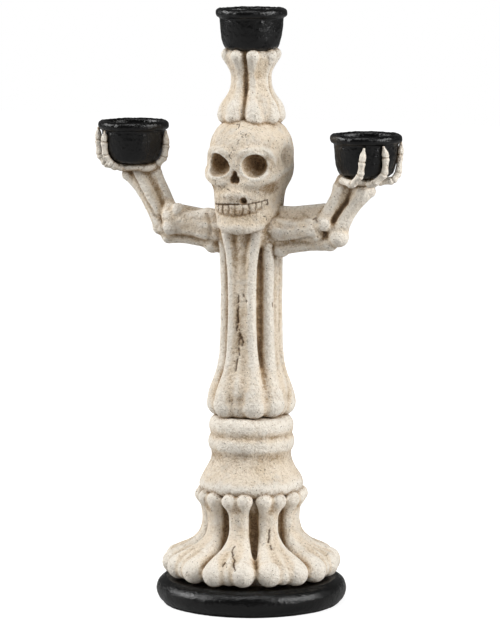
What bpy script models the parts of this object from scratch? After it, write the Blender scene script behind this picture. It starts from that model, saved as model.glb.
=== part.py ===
"""Skeleton candelabra: one resin casting of bundled bones, a skull and two raised hands, with three cups.

Metres, +Z up. The origin is on the table under the middle of the round base. The face looks along -Y,
and the arms reach out along -X and +X. Every block of the figure is modelled as its own closed shape,
and one Boolean union turns them into the single casting that comes out of the mould.
"""

import math

import bmesh
import bpy
from mathutils import Matrix, Vector

# Base disc
BASE_RADIUS = 0.0695
BASE_THICKNESS = 0.0195
BASE_EDGE_DEPTH = 0.0055
BASE_SEGMENTS = 36

# Skirt of splayed bones round the foot. Their heads carry the pedestal.
SKIRT_BONES = 9
SKIRT_TURN = 4.5
SKIRT_HEAD_RADIUS = 0.0346
SKIRT_HEAD_RISE = 0.0595
SKIRT_WAIST_RADIUS = 0.0296
SKIRT_FOOT_RADIUS = 0.0565
SKIRT_FOOT_RISE = 0.0078
SKIRT_HEAD_HALF_WIDTH = 0.0118
SKIRT_HEAD_HALF_DEPTH = 0.0056
SKIRT_SHAFT_HALF_WIDTH = 0.0060
SKIRT_FOOT_HALF_WIDTH = 0.0186
SKIRT_FOOT_HALF_DEPTH = 0.0073
SKIRT_CORE_RECESS = 0.0035

# Turned pedestal: a flared collar and two rings
COLLAR_RADIUS = 0.0378
COLLAR_HEIGHT = 0.0280
COLLAR_WAIST_RADIUS = 0.0283
RING_RADII = (0.0314, 0.0307)
RING_HEIGHTS = (0.0115, 0.0138)
RING_CREASE_RADIUS = 0.0284
PEDESTAL_SEGMENTS = 28

# Column: four long bones standing in a bundle
COLUMN_BONES = 4
COLUMN_TURN = -4.0
COLUMN_LENGTH = 0.1410
COLUMN_SHAFT_RING = 0.0126
COLUMN_SHAFT_HALF_WIDTH = 0.0106
COLUMN_FOOT_RING = 0.0200
COLUMN_FOOT_HALF_WIDTH = 0.0202
COLUMN_FOOT_HALF_DEPTH = 0.0110
COLUMN_HEAD_HALF_WIDTH = 0.0164
COLUMN_SEAT = 0.0015

# Skull
SKULL_HALF_WIDTH = 0.0305
SKULL_FRONT = 0.0355
SKULL_BACK = 0.0370
SKULL_HEIGHT = 0.0830
SKULL_OVER_COLUMN = 0.0038
JAW_HALF_WIDTH = 0.0226
JAW_FRONT = 0.0342
SOCKET_SPACING = 0.0276
SOCKET_HALF_WIDTH = 0.0094
SOCKET_HALF_HEIGHT = 0.0086
SOCKET_DEPTH = 0.0105
SOCKET_RISE = 0.0478
NOSE_HEIGHT = 0.0090
NOSE_HALF_WIDTH = 0.0036
NOSE_DEPTH = 0.0045
NOSE_RISE = 0.0398
MOUTH_RISE = 0.0203
MOUTH_GAP = 0.0013
MOUTH_DEPTH = 0.0022
TOOTH_WIDTH = 0.0050
TOOTH_TURN = 8.6
TOOTH_HEIGHT = 0.0068
TOOTH_ROOT = 0.0050
TOOTH_PROUD = 0.0011
TEETH_EACH_ROW = 8
LOST_TOOTH = 5

# Neck: four short bones on the crown, which carry the top cup
NECK_BONES = 4
NECK_TURN = 45.0
NECK_LENGTH = 0.0530
NECK_SEAT = 0.0065
NECK_WAIST_RING = 0.0078
NECK_WAIST_HALF_WIDTH = 0.0074
NECK_FOOT_RING = 0.0165
NECK_FOOT_HALF_WIDTH = 0.0132
NECK_HEAD_RING = 0.0144
NECK_HEAD_HALF_WIDTH = 0.0112

# Cups, sized for a tealight
CUP_HEIGHT = 0.0310
CUP_RIM_RADIUS = 0.0256
CUP_BODY_RADIUS = 0.0234
CUP_FOOT_RADIUS = 0.0188
CUP_WELL_RADIUS = 0.0204
CUP_FLOOR = 0.0070
CUP_RIM_HALF_HEIGHT = 0.0029
CUP_SEGMENTS = 22
CUP_SEAT = 0.0022

# Arms and hands. The two hands hold their cups at slightly different heights.
ARM_REACH = 0.0890
ARM_FORWARD = 0.0060
HAND_CUP_RISE_RIGHT = 0.3170
HAND_CUP_RISE_LEFT = 0.3125
FINGER_RADIUS = 0.0033
FINGER_SINK = 0.0006
PALM_THICKNESS = 0.0090

# Fineness of the rounds
BONE_SIDES = 16
SMALL_BONE_SIDES = 14
FINGER_SIDES = 6
FIGURE_GRAIN = 0.0008
FIGURE_FACET_SHARE = 0.0081

BONE_COLOUR = (0.73, 0.64, 0.50, 1.0)
BLACK_COLOUR = (0.012, 0.012, 0.013, 1.0)


def paint(name, colour, roughness):
    """A painted finish for the casting."""
    material = bpy.data.materials.new(name)
    material.use_nodes = True
    shader = material.node_tree.nodes["Principled BSDF"]
    shader.inputs["Base Color"].default_value = colour
    shader.inputs["Roughness"].default_value = roughness
    shader.inputs["Metallic"].default_value = 0.0
    material.diffuse_color = colour
    return material


def add_block(name, mesh, material, collection):
    """Adds one block of the figure: a closed shape that the casting's union takes in."""
    mesh.materials.append(material)
    block = bpy.data.objects.new(name, mesh)
    block.hide_render = True
    block.display_type = "WIRE"
    collection.objects.link(block)
    return block


def mesh_from(name, bm):
    """Turns the faces outwards and hands over the finished mesh."""
    bmesh.ops.recalc_face_normals(bm, faces=bm.faces)
    mesh = bpy.data.meshes.new(name)
    bm.to_mesh(mesh)
    bm.free()
    mesh.shade_smooth()
    mesh.set_sharp_from_angle(angle=math.radians(40))
    return mesh


def skin_over_rings(name, rings, first_tip, last_tip):
    """A closed skin over rings of points, drawn together to a point at each end."""
    bm = bmesh.new()
    loops = [[bm.verts.new(point) for point in ring] for ring in rings]
    sides = len(rings[0])
    for lower, upper in zip(loops, loops[1:]):
        for i in range(sides):
            j = (i + 1) % sides
            bm.faces.new((lower[i], lower[j], upper[j], upper[i]))
    for loop, tip in ((loops[0], first_tip), (loops[-1], last_tip)):
        point = bm.verts.new(tip)
        for i in range(sides):
            bm.faces.new((loop[i], loop[(i + 1) % sides], point))
    return mesh_from(name, bm)


def arc(centre, radii, start, end, steps):
    """Points along an elliptical arc in a turned profile, as (radius, height). Angles are in degrees."""
    points = []
    for step in range(steps + 1):
        angle = math.radians(start + (end - start) * step / steps)
        points.append((centre[0] + radii[0] * math.cos(angle), centre[1] + radii[1] * math.sin(angle)))
    return points


def turned_mesh(name, profile, segments):
    """Spins a profile that starts and ends on the axis into a closed round body."""
    bm = bmesh.new()
    points = [bm.verts.new((radius, 0.0, height)) for radius, height in profile]
    edges = [bm.edges.new(pair) for pair in zip(points, points[1:])]
    bmesh.ops.spin(
        bm, geom=points + edges, cent=(0, 0, 0), axis=(0, 0, 1), angle=2 * math.pi, steps=segments, use_merge=True
    )
    bmesh.ops.remove_doubles(bm, verts=bm.verts, dist=1e-6)
    return mesh_from(name, bm)


def knuckle_height(across, through):
    """How far a pair of knuckles stands out past a bone's end, from 0 at its edge to 1 at each crown."""
    crown = 0.45
    fall = ((abs(across) - crown) / (1 - crown)) ** 2 + through**2
    return math.sqrt(max(0.0, 1.0 - fall))


def bone_mesh(name, stations, width_axis, reaches, sides):
    """A bone as a skin over oval sections, each (centre, half width, half depth, cleft).

    The cleft pinches a section between its two knuckles. The reaches are how far the paired knuckles
    stand out past the first and the last station.
    """
    centres = [Vector(station[0]) for station in stations]
    frames = []
    for i in range(len(centres)):
        along = (centres[min(i + 1, len(centres) - 1)] - centres[max(i - 1, 0)]).normalized()
        width = Vector(width_axis)
        width = (width - along * width.dot(along)).normalized()
        frames.append((along, width, along.cross(width)))
    angles = [2 * math.pi * k / sides for k in range(sides)]

    def section(i, share, reach):
        _, half_width, half_depth, cleft = stations[i]
        along, width, depth = frames[i]
        ring = []
        for angle in angles:
            across = share * math.cos(angle)
            through = share * math.sin(angle) * (1 - cleft * (1 - abs(math.cos(angle))) ** 2)
            out = reach * knuckle_height(across, through) if share < 1 else 0.0
            ring.append(centres[i] + width * half_width * across + depth * half_depth * through + along * out)
        return ring

    last = len(stations) - 1
    shares = (0.45, 0.72, 0.90)
    rings = [section(0, share, -reaches[0]) for share in shares]
    rings += [section(i, 1.0, 0.0) for i in range(len(stations))]
    rings += [section(last, share, reaches[1]) for share in reversed(shares)]
    saddle = knuckle_height(0.0, 0.0)
    first_tip = centres[0] - frames[0][0] * reaches[0] * saddle
    last_tip = centres[last] + frames[last][0] * reaches[1] * saddle
    return skin_over_rings(name, rings, first_tip, last_tip)


def round_bundle(name, count, turn, stations, reaches, material, collection, sides=BONE_SIDES):
    """Copies of one bone round the axis. A station is (radius, height, half width, half depth, cleft)."""
    for number in range(count):
        angle = math.radians(turn + 360.0 * number / count)
        outwards = Vector((math.sin(angle), -math.cos(angle), 0.0))
        sideways = Vector((math.cos(angle), math.sin(angle), 0.0))
        placed = [
            (outwards * radius + Vector((0, 0, height)), half_width, half_depth, cleft)
            for radius, height, half_width, half_depth, cleft in stations
        ]
        label = f"{name}_{number + 1}"
        add_block(label, bone_mesh(label, placed, sideways, reaches, sides), material, collection)


def ellipsoid_mesh(name, centre, radii, turn_axis="Z", turn=0.0, segments=14):
    """An ellipsoid, turned about one axis through its own middle. The turn is in degrees."""
    bm = bmesh.new()
    place = Matrix.Translation(centre) @ Matrix.Rotation(math.radians(turn), 4, turn_axis)
    size = Matrix.Diagonal((*radii, 1.0))
    bmesh.ops.create_uvsphere(bm, u_segments=segments, v_segments=segments // 2 + 1, radius=1.0, matrix=place @ size)
    return mesh_from(name, bm)


def build_base(collection, black):
    """The black disc that stands on the table, with a full rounded edge."""
    flat = BASE_RADIUS - BASE_EDGE_DEPTH
    middle = BASE_THICKNESS / 2
    profile = [(0.0, 0.0)]
    profile += arc((flat, middle), (BASE_EDGE_DEPTH, middle), -90, 90, 6)
    profile += [(0.0, BASE_THICKNESS)]
    add_block("base_disc", turned_mesh("base_disc", profile, BASE_SEGMENTS), black, collection)


def build_skirt(collection, bone):
    """Nine bones that lean in from the disc's edge to the collar, and the flared core behind them."""
    floor = BASE_THICKNESS
    head = floor + SKIRT_HEAD_RISE
    foot = floor + SKIRT_FOOT_RISE
    drop = head - foot
    spread = SKIRT_FOOT_RADIUS - SKIRT_WAIST_RADIUS
    slim = SKIRT_SHAFT_HALF_WIDTH
    wide = SKIRT_FOOT_HALF_WIDTH
    thick = SKIRT_FOOT_HALF_DEPTH
    thin = SKIRT_HEAD_HALF_DEPTH
    # Share of the drop, share of the spread, half width, half depth, cleft
    shape = (
        (0.00, None, SKIRT_HEAD_HALF_WIDTH, thin, 0.42),
        (0.10, 0.09, SKIRT_HEAD_HALF_WIDTH * 0.84, thin, 0.34),
        (0.20, 0.03, slim * 1.16, thin, 0.12),
        (0.34, 0.00, slim, thin, 0.0),
        (0.51, 0.06, slim * 1.04, thin, 0.0),
        (0.65, 0.21, slim * 1.24, thin, 0.0),
        (0.77, 0.43, slim + (wide - slim) * 0.38, thin + (thick - thin) * 0.4, 0.12),
        (0.88, 0.70, slim + (wide - slim) * 0.78, thin + (thick - thin) * 0.8, 0.30),
        (1.00, 1.00, wide, thick, 0.40),
    )
    stations = []
    for fall, out, half_width, half_depth, cleft in shape:
        radius = SKIRT_HEAD_RADIUS if out is None else SKIRT_WAIST_RADIUS + spread * out
        stations.append((radius, head - drop * fall, half_width, half_depth, cleft))
    round_bundle("skirt_bone", SKIRT_BONES, SKIRT_TURN, stations, (thin, thick), bone, collection)

    core = [(0.0, floor - 0.004), (SKIRT_FOOT_RADIUS + 0.001, floor - 0.004)]
    for radius, height, _, half_depth, _ in reversed(stations[3:]):
        core.append((radius - SKIRT_CORE_RECESS, height - half_depth * 0.6))
    core += [(stations[3][0] - SKIRT_CORE_RECESS, head), (0.0, head)]
    add_block("skirt_core", turned_mesh("skirt_core", core, PEDESTAL_SEGMENTS), bone, collection)


def pedestal_heights():
    """Heights of the collar's underside, of each ring's lower crease, and of the pedestal's top."""
    underside = BASE_THICKNESS + SKIRT_HEAD_RISE + 0.0040
    first_crease = underside + COLLAR_HEIGHT
    second_crease = first_crease + RING_HEIGHTS[0]
    return underside, first_crease, second_crease, second_crease + RING_HEIGHTS[1]


def build_pedestal(collection, bone):
    """The turned collar that the skirt bones carry, with its two rings."""
    underside, first_crease, second_crease, top = pedestal_heights()
    waist = COLLAR_WAIST_RADIUS
    lip_half = 0.0052
    lip_depth = 0.0050
    lip_centre = underside + lip_half
    profile = [(0.0, underside - 0.0060), (waist, underside - 0.0060)]
    profile += arc((COLLAR_RADIUS - lip_depth, lip_centre), (lip_depth, lip_half), -80, 38, 4)
    cove = COLLAR_RADIUS - waist
    cove_height = first_crease - lip_centre - 0.0040
    profile += arc((waist + cove, first_crease - 0.0010), (cove, cove_height), 238, 184, 3)
    for crease, height, radius in zip((first_crease, second_crease), RING_HEIGHTS, RING_RADII):
        bulge = radius - RING_CREASE_RADIUS + 0.0012
        profile += arc((radius - bulge, crease + height / 2), (bulge, height / 2 * 1.02), -66, 66, 4)
    profile += [(RING_CREASE_RADIUS * 0.9, top), (0.0, top)]
    add_block("pedestal", turned_mesh("pedestal", profile, PEDESTAL_SEGMENTS), bone, collection)


def column_foot_height():
    """The level at which the column's bones end, sunk a little into the pedestal."""
    return pedestal_heights()[3] - COLUMN_SEAT


def build_column(collection, bone):
    """Four long bones in a bundle, with broad paired knuckles at the foot and smaller ones at the head."""
    foot = column_foot_height()
    ring = COLUMN_SHAFT_RING
    slim = COLUMN_SHAFT_HALF_WIDTH
    wide = COLUMN_FOOT_HALF_WIDTH - slim
    flare = COLUMN_FOOT_RING - ring
    crown = COLUMN_HEAD_HALF_WIDTH - slim
    thick = COLUMN_FOOT_HALF_DEPTH
    knuckle = 0.0105
    rise = COLUMN_LENGTH - 0.0165
    # Share of the rise, share of the flare, half width, half depth, cleft
    shape = (
        (0.00, 1.00, slim + wide, thick, 0.34),
        (0.06, 0.80, slim + wide * 0.86, thick, 0.34),
        (0.15, 0.40, slim + wide * 0.48, thick * 0.96, 0.26),
        (0.25, 0.10, slim + wide * 0.14, slim, 0.14),
        (0.37, 0.00, slim, slim * 0.97, 0.08),
        (0.58, 0.00, slim * 0.97, slim * 0.96, 0.06),
        (0.78, 0.00, slim, slim * 0.97, 0.12),
        (0.88, 0.04, slim + crown * 0.30, slim, 0.22),
        (0.95, 0.10, slim + crown * 0.85, slim, 0.32),
        (1.00, 0.12, slim + crown, slim, 0.36),
    )
    stations = [
        (ring + flare * out, foot + knuckle + rise * up, half_width, half_depth, cleft)
        for up, out, half_width, half_depth, cleft in shape
    ]
    round_bundle("column_bone", COLUMN_BONES, COLUMN_TURN, stations, (knuckle, 0.006), bone, collection)


def skull_floor():
    """Height of the chin's underside. The skull hangs a little way down over the column's heads."""
    return column_foot_height() + COLUMN_LENGTH - SKULL_OVER_COLUMN


def skull_levels():
    """The skull's outline, level by level.

    Each level is share of the height, half width, reach to the front, reach to the back, squareness.
    """
    jaw, head = JAW_HALF_WIDTH, SKULL_HALF_WIDTH
    return (
        (0.000, jaw * 0.55, JAW_FRONT * 0.80, 0.0080, 2.1),
        (0.025, jaw * 0.74, JAW_FRONT * 0.91, 0.0120, 2.3),
        (0.085, jaw * 0.88, JAW_FRONT * 0.975, 0.0150, 2.4),
        (0.170, jaw * 0.96, JAW_FRONT * 0.99, 0.0175, 2.5),
        (0.265, jaw * 0.98, JAW_FRONT, 0.0215, 2.5),
        (0.345, jaw * 0.97, JAW_FRONT * 0.98, 0.0270, 2.4),
        (0.405, jaw + (head - jaw) * 0.40, JAW_FRONT * 0.965, 0.0310, 2.6),
        (0.460, jaw + (head - jaw) * 0.78, JAW_FRONT * 0.97, SKULL_BACK * 0.90, 2.8),
        (0.520, head * 0.970, SKULL_FRONT * 0.93, SKULL_BACK * 0.96, 2.5),
        (0.600, head * 0.985, SKULL_FRONT * 0.955, SKULL_BACK, 2.1),
        (0.700, head, SKULL_FRONT, SKULL_BACK, 2.0),
        (0.790, head * 0.94, SKULL_FRONT * 0.965, SKULL_BACK * 0.95, 2.0),
        (0.870, head * 0.80, SKULL_FRONT * 0.84, SKULL_BACK * 0.83, 2.0),
        (0.940, head * 0.58, SKULL_FRONT * 0.62, SKULL_BACK * 0.60, 2.0),
        (0.985, head * 0.29, SKULL_FRONT * 0.31, SKULL_BACK * 0.30, 2.0),
    )


def skull_point(azimuth, share, proud=0.0):
    """A point of the skull's outline at a turn from the front, in degrees, and a share of the height."""
    levels = skull_levels()
    upper = next((i for i, level in enumerate(levels) if level[0] >= share), len(levels) - 1)
    lower = max(upper - 1, 0)
    span = levels[upper][0] - levels[lower][0] or 1.0
    mix = (share - levels[lower][0]) / span
    _, half_width, front, back, squareness = (a + (b - a) * mix for a, b in zip(levels[lower], levels[upper]))
    across, along = math.sin(math.radians(azimuth)), -math.cos(math.radians(azimuth))
    reach = (abs(across) ** squareness + abs(along) ** squareness) ** (-1 / squareness)
    depth = front if along < 0 else back
    point = Vector((half_width * across * reach, depth * along * reach, 0))
    return point + point.normalized() * proud + Vector((0, 0, skull_floor() + SKULL_HEIGHT * share))


def face_frame(azimuth, share):
    """A point of the skull's outline and the direction straight out of the bone there."""
    along = skull_point(azimuth + 1, share) - skull_point(azimuth - 1, share)
    return skull_point(azimuth, share), Vector((along.y, -along.x, 0)).normalized()


def build_skull(figure, added, removed, bone):
    """The skull: its mass with brows and cheekbones, then sockets, nose, and teeth with one gone."""
    chin = skull_floor()
    points = 40
    rings = [[skull_point(360 * k / points, level[0]) for k in range(points)] for level in skull_levels()]
    crown = Vector((0, 0, chin + SKULL_HEIGHT))
    mesh = skin_over_rings("skull", rings, Vector((0, -JAW_FRONT * 0.3, chin)), crown)
    skull = add_block("skull", mesh, bone, figure)
    temples = bpy.data.collections.new("temples")
    for side in (-1, 1):
        build_cheek(side, figure, bone)
        build_socket(side, chin, removed, bone)
        build_temple(side, chin, temples, bone)
    build_nose(chin, removed, bone)
    build_teeth(added, removed, bone)
    dents = skull.modifiers.new("temples", "BOOLEAN")
    dents.operation = "DIFFERENCE"
    dents.operand_type = "COLLECTION"
    dents.collection = temples
    dents.solver = "EXACT"


def build_cheek(side, added, bone):
    """The brow above a socket, and the cheekbone that runs back under it."""
    label = "left" if side > 0 else "right"
    ridges = {
        "brow": ((8, 0.700, 0.0030), (22, 0.722, 0.0040), (38, 0.716, 0.0042), (52, 0.672, 0.0040), (62, 0.610, 0.0034)),
        "cheek": ((14, 0.405, 0.0034), (30, 0.425, 0.0048), (48, 0.455, 0.0050), (66, 0.500, 0.0038), (84, 0.530, 0.0030)),
    }
    for name, path in ridges.items():
        stations = [(skull_point(side * turn, share, -size * 0.52), size, size, 0.0) for turn, share, size in path]
        mesh = bone_mesh(f"{name}_{label}", stations, (0, 0, 1), (0.003, 0.003), SMALL_BONE_SIDES)
        add_block(f"{name}_{label}", mesh, bone, added)


def build_socket(side, chin, removed, bone):
    """The deep bowl of an eye."""
    label = "left" if side > 0 else "right"
    centre = (side * SOCKET_SPACING / 2, -SKULL_FRONT * 0.90, chin + SOCKET_RISE)
    size = (SOCKET_HALF_WIDTH, SOCKET_DEPTH, SOCKET_HALF_HEIGHT)
    add_block(f"socket_{label}", ellipsoid_mesh(f"socket_{label}", centre, size, "Z", side * 14, 16), bone, removed)


def build_temple(side, chin, temples, bone):
    """The shallow dent beside an eye."""
    label = "left" if side > 0 else "right"
    centre = (side * (SKULL_HALF_WIDTH + 0.0062), -SKULL_FRONT * 0.40, chin + SOCKET_RISE + 0.0040)
    dent = ellipsoid_mesh(f"temple_{label}", centre, (0.0085, 0.0150, 0.0150), "Z", side * 16, 16)
    add_block(f"temple_{label}", dent, bone, temples)


def build_nose(chin, removed, bone):
    """Two slanted hollows that meet at the bridge and leave a small spine between them."""
    middle = chin + NOSE_RISE
    for side in (-1, 1):
        hollow = ellipsoid_mesh(
            f"nose_{'left' if side > 0 else 'right'}",
            (side * NOSE_HALF_WIDTH * 0.46, -JAW_FRONT, middle),
            (NOSE_HALF_WIDTH * 0.58, NOSE_DEPTH, NOSE_HEIGHT * 0.56),
            "Y",
            side * -20,
            8,
        )
        add_block(hollow.name, hollow, bone, removed)


def build_teeth(added, removed, bone):
    """Two rows of teeth round the jaw, the line between them, and the hole of the lost tooth."""
    line = MOUTH_RISE / SKULL_HEIGHT
    for row, sign in (("upper", 1), ("lower", -1)):
        for number in range(TEETH_EACH_ROW):
            azimuth = (number - (TEETH_EACH_ROW - 1) / 2) * TOOTH_TURN
            share = line + sign * (MOUTH_GAP * 0.2 + TOOTH_HEIGHT / 2) / SKULL_HEIGHT
            place, outwards = face_frame(azimuth, share)
            if row == "upper" and number == LOST_TOOTH:
                size = (TOOTH_WIDTH * 0.5, MOUTH_DEPTH * 1.4, TOOTH_HEIGHT * 0.5)
                hole = ellipsoid_mesh("lost_tooth", place - Vector((0, 0, 0.0012)), size, "Z", azimuth, 10)
                add_block("lost_tooth", hole, bone, removed)
                continue
            bm = bmesh.new()
            turn = outwards.to_track_quat("-Y", "Z").to_matrix().to_4x4()
            size = Matrix.Diagonal((TOOTH_WIDTH * 0.86, TOOTH_ROOT, TOOTH_HEIGHT, 1.0))
            shift = Matrix.Translation((0, TOOTH_ROOT / 2 - TOOTH_PROUD, 0))
            bmesh.ops.create_cube(bm, size=1.0, matrix=Matrix.Translation(place) @ turn @ shift @ size)
            front = [edge for edge in bm.edges if all((v.co - place).dot(outwards) > 0 for v in edge.verts)]
            bmesh.ops.bevel(bm, geom=front, offset=0.0009, segments=1, affect="EDGES")
            label = f"tooth_{row}_{number + 1}"
            add_block(label, mesh_from(label, bm), bone, added)
    build_mouth_line(line, removed, bone)


def build_mouth_line(line, removed, bone):
    """The slot between the two rows, which rises a little at its corners."""
    bm = bmesh.new()
    loops = []
    reach = TOOTH_TURN * TEETH_EACH_ROW / 2
    for step in range(11):
        azimuth = (step / 5 - 1) * reach
        place, outwards = face_frame(azimuth, line)
        place.z += 0.0016 * (azimuth / reach) ** 2
        corners = []
        for out, up in ((-MOUTH_DEPTH, -1), (0.004, -1), (0.004, 1), (-MOUTH_DEPTH, 1)):
            corners.append(bm.verts.new(place + outwards * out + Vector((0, 0, up * MOUTH_GAP / 2))))
        loops.append(corners)
    for lower, upper in zip(loops, loops[1:]):
        for i in range(4):
            bm.faces.new((lower[i], lower[(i + 1) % 4], upper[(i + 1) % 4], upper[i]))
    bm.faces.new(loops[0])
    bm.faces.new(loops[-1])
    add_block("mouth_line", mesh_from("mouth_line", bm), bone, removed)


def neck_foot_height():
    """The level of the neck bones' lower knuckles, sunk into the crown of the skull."""
    return skull_floor() + SKULL_HEIGHT - NECK_SEAT


def build_neck(collection, bone):
    """Four short bones that stand on the crown and spread out under the top cup."""
    foot = neck_foot_height()
    lower, upper = 0.0068, 0.0046
    rise = NECK_LENGTH - lower - upper
    ring = NECK_WAIST_RING
    slim = NECK_WAIST_HALF_WIDTH
    low_ring = NECK_FOOT_RING - ring
    low_wide = NECK_FOOT_HALF_WIDTH - slim
    top_ring = NECK_HEAD_RING - ring
    top_wide = NECK_HEAD_HALF_WIDTH - slim
    stations = []
    # Share of the rise, ring radius, half width, half depth, cleft
    for up, radius, half_width, half_depth, cleft in (
        (0.00, ring + low_ring, slim + low_wide, 0.0074, 0.36),
        (0.12, ring + low_ring * 0.84, slim + low_wide * 0.82, 0.0074, 0.34),
        (0.22, ring + low_ring * 0.48, slim + low_wide * 0.45, 0.0073, 0.22),
        (0.33, ring + low_ring * 0.09, slim + low_wide * 0.12, 0.0072, 0.10),
        (0.54, ring, slim, 0.0070, 0.05),
        (0.72, ring, slim, 0.0069, 0.10),
        (0.84, ring + top_ring * 0.32, slim + top_wide * 0.30, 0.0066, 0.22),
        (0.94, ring + top_ring * 0.82, slim + top_wide * 0.82, 0.0064, 0.34),
        (1.00, ring + top_ring, slim + top_wide, 0.0062, 0.38),
    ):
        stations.append((radius, foot + lower + rise * up, half_width, half_depth, cleft))
    round_bundle("neck_bone", NECK_BONES, NECK_TURN, stations, (lower, upper), bone, collection)
    core = [(0.0, foot)]
    core += [(radius - half_depth * 0.15, height) for radius, height, _, half_depth, _ in stations]
    core += [(0.0, foot + NECK_LENGTH)]
    add_block("neck_core", turned_mesh("neck_core", core, PEDESTAL_SEGMENTS), bone, collection)


def cup_mesh(name):
    """One cup as a turned pot: a rounded body, a rolled rim, and a straight well with a filleted floor."""
    rim_level = CUP_HEIGHT - CUP_RIM_HALF_HEIGHT
    rim_depth = (CUP_RIM_RADIUS - CUP_WELL_RADIUS) / 2
    rim_centre = CUP_RIM_RADIUS - rim_depth
    fillet = 0.0040
    shoulder = CUP_HEIGHT * 0.50
    profile = [(0.0, 0.0), (CUP_FOOT_RADIUS - 0.0012, 0.0)]
    profile += arc(
        (CUP_FOOT_RADIUS - 0.0012, shoulder), (CUP_BODY_RADIUS - CUP_FOOT_RADIUS + 0.0012, shoulder - 0.0006), -80, 0, 3
    )
    profile += [(CUP_BODY_RADIUS, rim_level - CUP_RIM_HALF_HEIGHT * 0.95)]
    profile += arc((rim_centre, rim_level), (rim_depth, CUP_RIM_HALF_HEIGHT), -40, 180, 5)
    profile += arc((CUP_WELL_RADIUS - fillet, CUP_FLOOR + fillet), (fillet, fillet), 0, -90, 2)
    profile += [(0.0, CUP_FLOOR)]
    return turned_mesh(name, profile, CUP_SEGMENTS)


def add_cup(name, place, collection, black):
    """Stands one cup at a place."""
    cup = add_block(name, cup_mesh(name), black, collection)
    cup.location = place
    return cup


def arm_bones(side, rise):
    """The bones of one arm, as name, start, end, shaft radius, and half widths at the two ends.

    Places are for the +X arm, and side mirrors them. The rise lifts the wrist ends to the cup.
    """
    elbow = rise * 0.35
    bones = (
        ("upper_front", (0.0205, -0.0100, 0.2725), (0.0525, -0.0110, 0.2750 + elbow), 0.0074, 0.0108, 0.0108),
        ("upper_back", (0.0180, 0.0040, 0.2810), (0.0560, 0.0010, 0.2835 + elbow), 0.0058, 0.0070, 0.0072),
        ("upper_low", (0.0240, -0.0020, 0.2612), (0.0610, -0.0035, 0.2652 + elbow), 0.0056, 0.0074, 0.0070),
        ("fore_inner", (0.0590, -0.0110, 0.2815 + elbow), (0.0730, -0.0100, 0.3045 + rise), 0.0062, 0.0078, 0.0074),
        ("fore_outer", (0.0680, -0.0065, 0.2735 + elbow), (0.0885, -0.0090, 0.3010 + rise), 0.0061, 0.0086, 0.0088),
        ("fore_back", (0.0600, 0.0040, 0.2800 + elbow), (0.0800, 0.0050, 0.3040 + rise), 0.0062, 0.0076, 0.0080),
    )
    return [(name, Vector((side * a[0], *a[1:])), Vector((side * b[0], *b[1:])), *sizes) for name, a, b, *sizes in bones]


def build_arm(side, cup_place, collection, bone):
    """The bones from the shoulder to the wrist of one arm."""
    label = "left" if side > 0 else "right"
    rise = cup_place.z - HAND_CUP_RISE_LEFT
    for name, start, end, radius, start_width, end_width in arm_bones(side, rise):
        width_axis = Vector((0, 1, 0)).cross(end - start).normalized()
        stations = []
        for along, half_width, cleft in (
            (0.00, start_width, 0.32),
            (0.10, start_width * 0.94, 0.30),
            (0.26, radius * 1.06, 0.10),
            (0.50, radius, 0.0),
            (0.74, radius * 1.04, 0.10),
            (0.90, end_width * 0.94, 0.30),
            (1.00, end_width, 0.32),
        ):
            stations.append((start.lerp(end, along), half_width, radius, cleft))
        block = f"{name}_{label}"
        mesh = bone_mesh(block, stations, width_axis, (radius * 0.8, radius * 0.8), SMALL_BONE_SIDES)
        add_block(block, mesh, bone, collection)


def build_elbow(side, cup_place, collection, bone):
    """The cluster of knuckles where the upper arm meets the forearm."""
    lift = (cup_place.z - HAND_CUP_RISE_LEFT) * 0.35
    for number, (across, back, height, size) in enumerate(
        ((0.0585, -0.0080, 0.2830, 0.0078), (0.0640, -0.0095, 0.2720, 0.0072), (0.0640, 0.0015, 0.2760, 0.0074))
    ):
        knob = ellipsoid_mesh(
            f"elbow_{'left' if side > 0 else 'right'}_{number + 1}",
            (side * across, back, height + lift),
            (size, size * 0.95, size * 1.05),
        )
        add_block(knob.name, knob, bone, collection)


def finger_mesh(name, cup_place, direction, tip_drop, root):
    """One finger that grows from the palm, rounds the cup's foot and climbs its wall.

    The direction is in degrees round the cup from the front. The notches between phalanges are modelled.
    """
    angle = math.radians(direction)
    outwards = Vector((math.sin(angle), -math.cos(angle), 0.0))
    wall = CUP_BODY_RADIUS + FINGER_RADIUS - FINGER_SINK
    top = CUP_HEIGHT - 2 * CUP_RIM_HALF_HEIGHT - tip_drop
    knees = (
        cup_place + root,
        cup_place + outwards * (wall - 0.0072) + Vector((0, 0, -FINGER_RADIUS * 0.7)),
        cup_place + outwards * wall + Vector((0, 0, 0.0065)),
        cup_place + outwards * (wall + 0.0003) + Vector((0, 0, 0.0065 + (top - 0.0065) * 0.58)),
        cup_place + outwards * (wall - 0.0004) + Vector((0, 0, top)),
    )
    stations = []
    thick = FINGER_RADIUS
    for number, (start, end) in enumerate(zip(knees, knees[1:])):
        last = number == len(knees) - 2
        size = thick * (1.0 - 0.05 * number)
        for along, share in ((0.08, 1.0), (0.90, 0.50)) if last else ((0.10, 0.9), (0.88, 1.0)):
            stations.append((start.lerp(end, along), size * share, size * share, 0.0))
        if not last:
            stations.append((end, size * 0.82, size * 0.82, 0.0))
    sideways = outwards.cross(Vector((0, 0, 1)))
    return bone_mesh(name, stations, sideways, (0.001, 0.0014), FINGER_SIDES)


def build_palm(side, cup_place, collection, bone):
    """The palm that spreads under a cup's foot."""
    name = f"palm_{'left' if side > 0 else 'right'}"
    middle = cup_place + Vector((-side * 0.0040, -0.0005, -PALM_THICKNESS * 0.36))
    size = (0.0195, 0.0165, PALM_THICKNESS * 0.62)
    add_block(name, ellipsoid_mesh(name, middle, size, "Y", side * 4, 16), bone, collection)


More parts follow.
